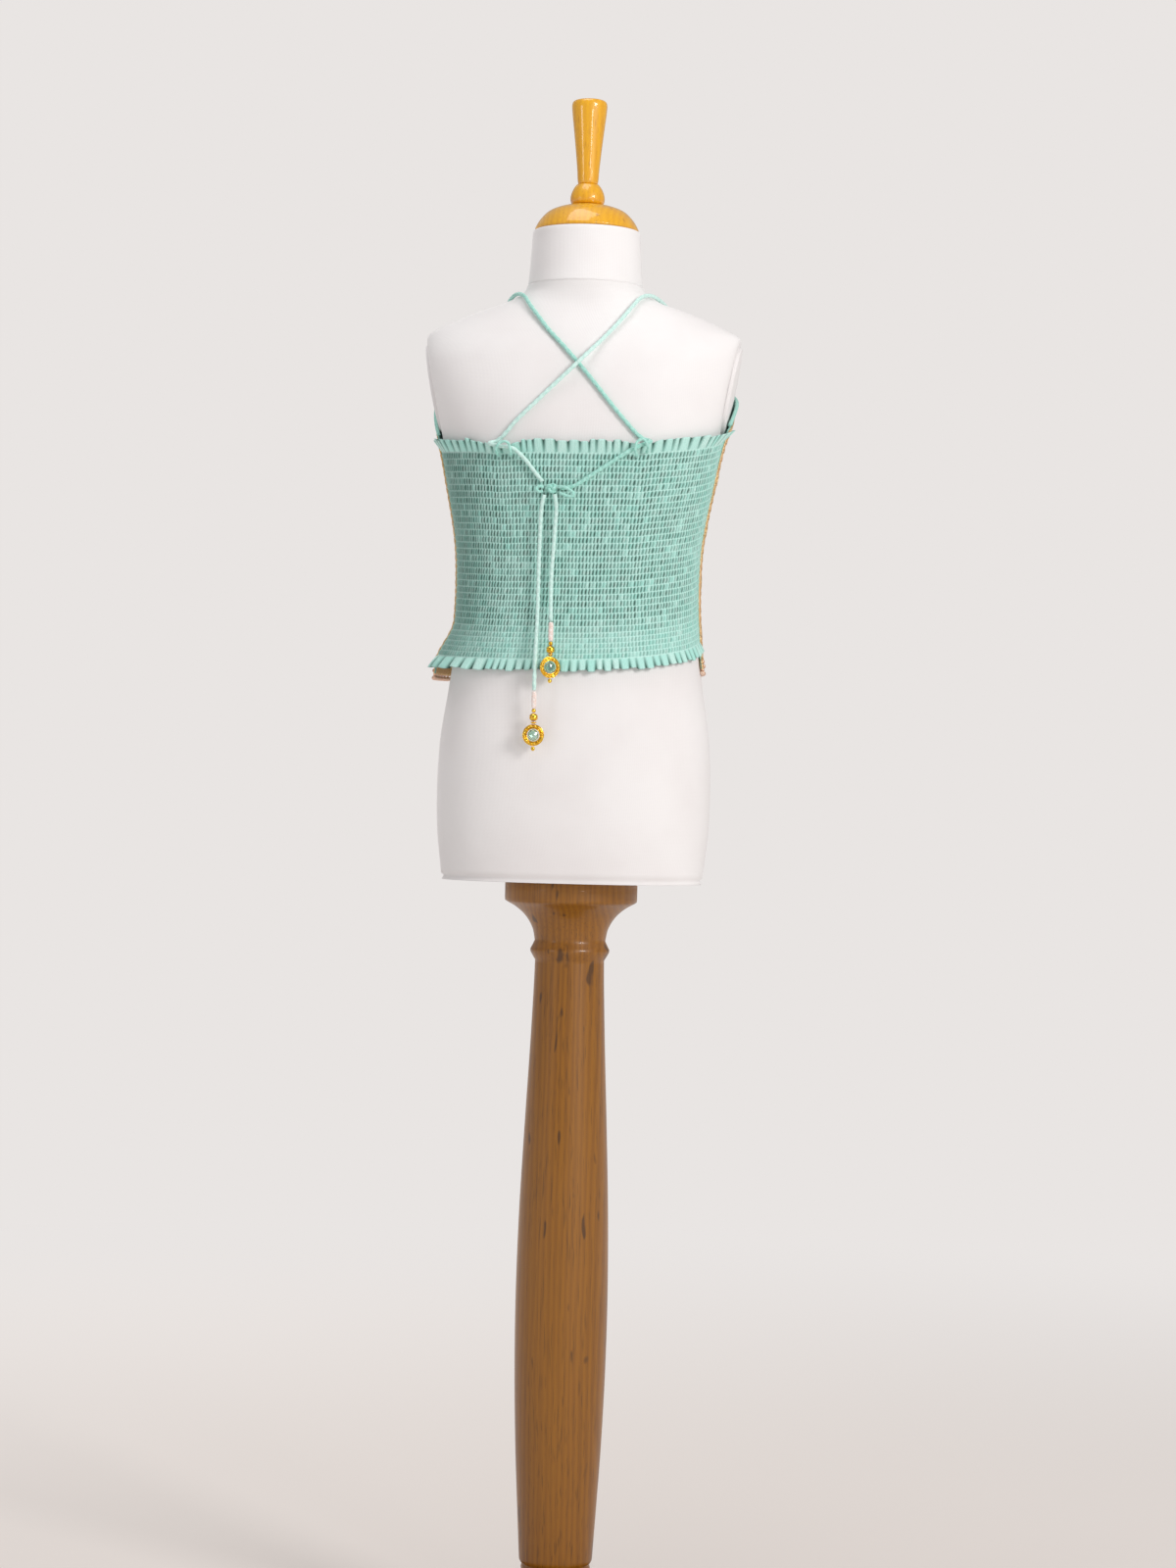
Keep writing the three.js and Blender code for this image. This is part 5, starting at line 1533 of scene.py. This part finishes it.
class CHOLI_OT_woodwork(bpy.types.Operator):
    """Turns the neck cap, ball, handle, post and base"""

    bl_idname = "choli.woodwork"
    bl_label = "Turned wood"

    def execute(self, context):
        cap = outline([(0, 1160.4), (41, 1160.4)],
                      [(41, 1160.4), (42.1, 1161), (42.2, 1162), (41.6, 1163.4)],
                      [(41.6, 1163.4), (39.9, 1166.6), (36.7, 1171), (31, 1176.2), (21.2, 1180.2),
                       (12, 1181.9), (0, 1182.2)])
        ball = outline([(0, 1182.5), (12.6, 1182.5)],
                       [(12.6, 1182.5), (13.6, 1184.4), (14, 1187), (13.6, 1190.2), (12.4, 1193.6),
                        (10.6, 1196.8), (9, 1198.7)], [(9, 1198.7), (0, 1198.7)])
        handle = outline([(0, 1199), (7.4, 1199)],
                         [(7.4, 1199), (8, 1199.8), (9.2, 1213), (10.8, 1229), (12.6, 1245), (14.2, 1259.5),
                          (14.35, 1263.5), (13.6, 1266), (11.6, 1267.3), (7, 1267.6), (0, 1267.6)])
        post = outline([(0, 24.3), (42, 24.3)], [(42, 24.3), (43.7, 26), (44.2, 31), (42.6, 36), (40, 38)],
                       [(40, 38), (33, 42), (28.2, 49), (26.6, 58), (26.9, 66), (27.9, 69)],
                       [(27.9, 69), (28.3, 70.7), (27.9, 72.4)], [(27.9, 72.4), (27, 74.2)],
                       [(27, 74.2), (29.2, 75.8), (29.9, 79)],
                       [(29.9, 79), (32.4, 122), (35, 170), (37, 230), (37.6, 290), (36.4, 360),
                        (33.6, 430), (30.4, 500), (28.6, 548), (28.2, 566)],
                       [(28.2, 566), (30.6, 570), (32.4, 574), (30.6, 578), (28.8, 582)],
                       [(28.8, 582), (31, 592), (37, 602), (45, 609), (52, 613)],
                       [(52, 613), (53.9, 614.4), (54, 616.4)], [(54, 616.4), (54, 629.7)],
                       [(54, 629.7), (0, 629.7)], spacing=2.0)
        base = outline([(0, 0), (148, 0)], [(148, 0), (149.5, 0.6), (150, 2)], [(150, 2), (150, 9)],
                       [(150, 9), (149.6, 11), (147.6, 12.8), (144, 13.4)], [(144, 13.4), (143, 16)],
                       [(143, 16), (139, 20.4), (132, 23.2), (124, 24)], [(124, 24), (0, 24)])
        for name, profile, material, steps, solid in (
                ("amber_neck_cap", cap, "finial", 128, "neck_cap"),
                ("amber_ball", ball, "finial", 96, "finial_ball"),
                ("amber_handle", handle, "finial", 96, "finial_handle"),
                ("turned_post", post, "post", 128, "stand_post"),
                ("turned_base", base, "post", 192, "stand_base")):
            finish(spun(name, profile, steps=steps), Materials.get(material), "varnished_wood", solid)
        return {"FINISHED"}


# ---- Panel and registration ---------------------------------------------------------------------

OPERATORS = (CHOLI_OT_stage, CHOLI_OT_straps, CHOLI_OT_tails, CHOLI_OT_back, CHOLI_OT_front,
             CHOLI_OT_form, CHOLI_OT_woodwork)


class CHOLI_PT_panel(bpy.types.Panel):
    """Lists the pieces in the order they are made"""

    bl_label = "Choli"
    bl_idname = "CHOLI_PT_panel"
    bl_space_type = "VIEW_3D"
    bl_region_type = "UI"
    bl_category = "Choli"

    def draw(self, context):
        column = self.layout.column()
        for group in (context.scene.choli_sizes, context.scene.choli_stage):
            for name in group.__annotations__:
                column.prop(group, name)
        for operator in OPERATORS:
            column.operator(operator.bl_idname)


CLASSES = (CholiSizes, CholiStage, *OPERATORS, CHOLI_PT_panel)


def register():
    for cls in CLASSES:
        bpy.utils.register_class(cls)
    bpy.types.Scene.choli_sizes = PointerProperty(type=CholiSizes)
    bpy.types.Scene.choli_stage = PointerProperty(type=CholiStage)


def unregister():
    del bpy.types.Scene.choli_stage
    del bpy.types.Scene.choli_sizes
    for cls in reversed(CLASSES):
        bpy.utils.unregister_class(cls)


def main():
    register()
    bpy.ops.choli.stage()
    bpy.ops.choli.straps()
    bpy.ops.choli.tails()
    bpy.ops.choli.back()
    bpy.ops.choli.front()
    bpy.ops.choli.form()
    bpy.ops.choli.woodwork()


if __name__ == "__main__":
    main()
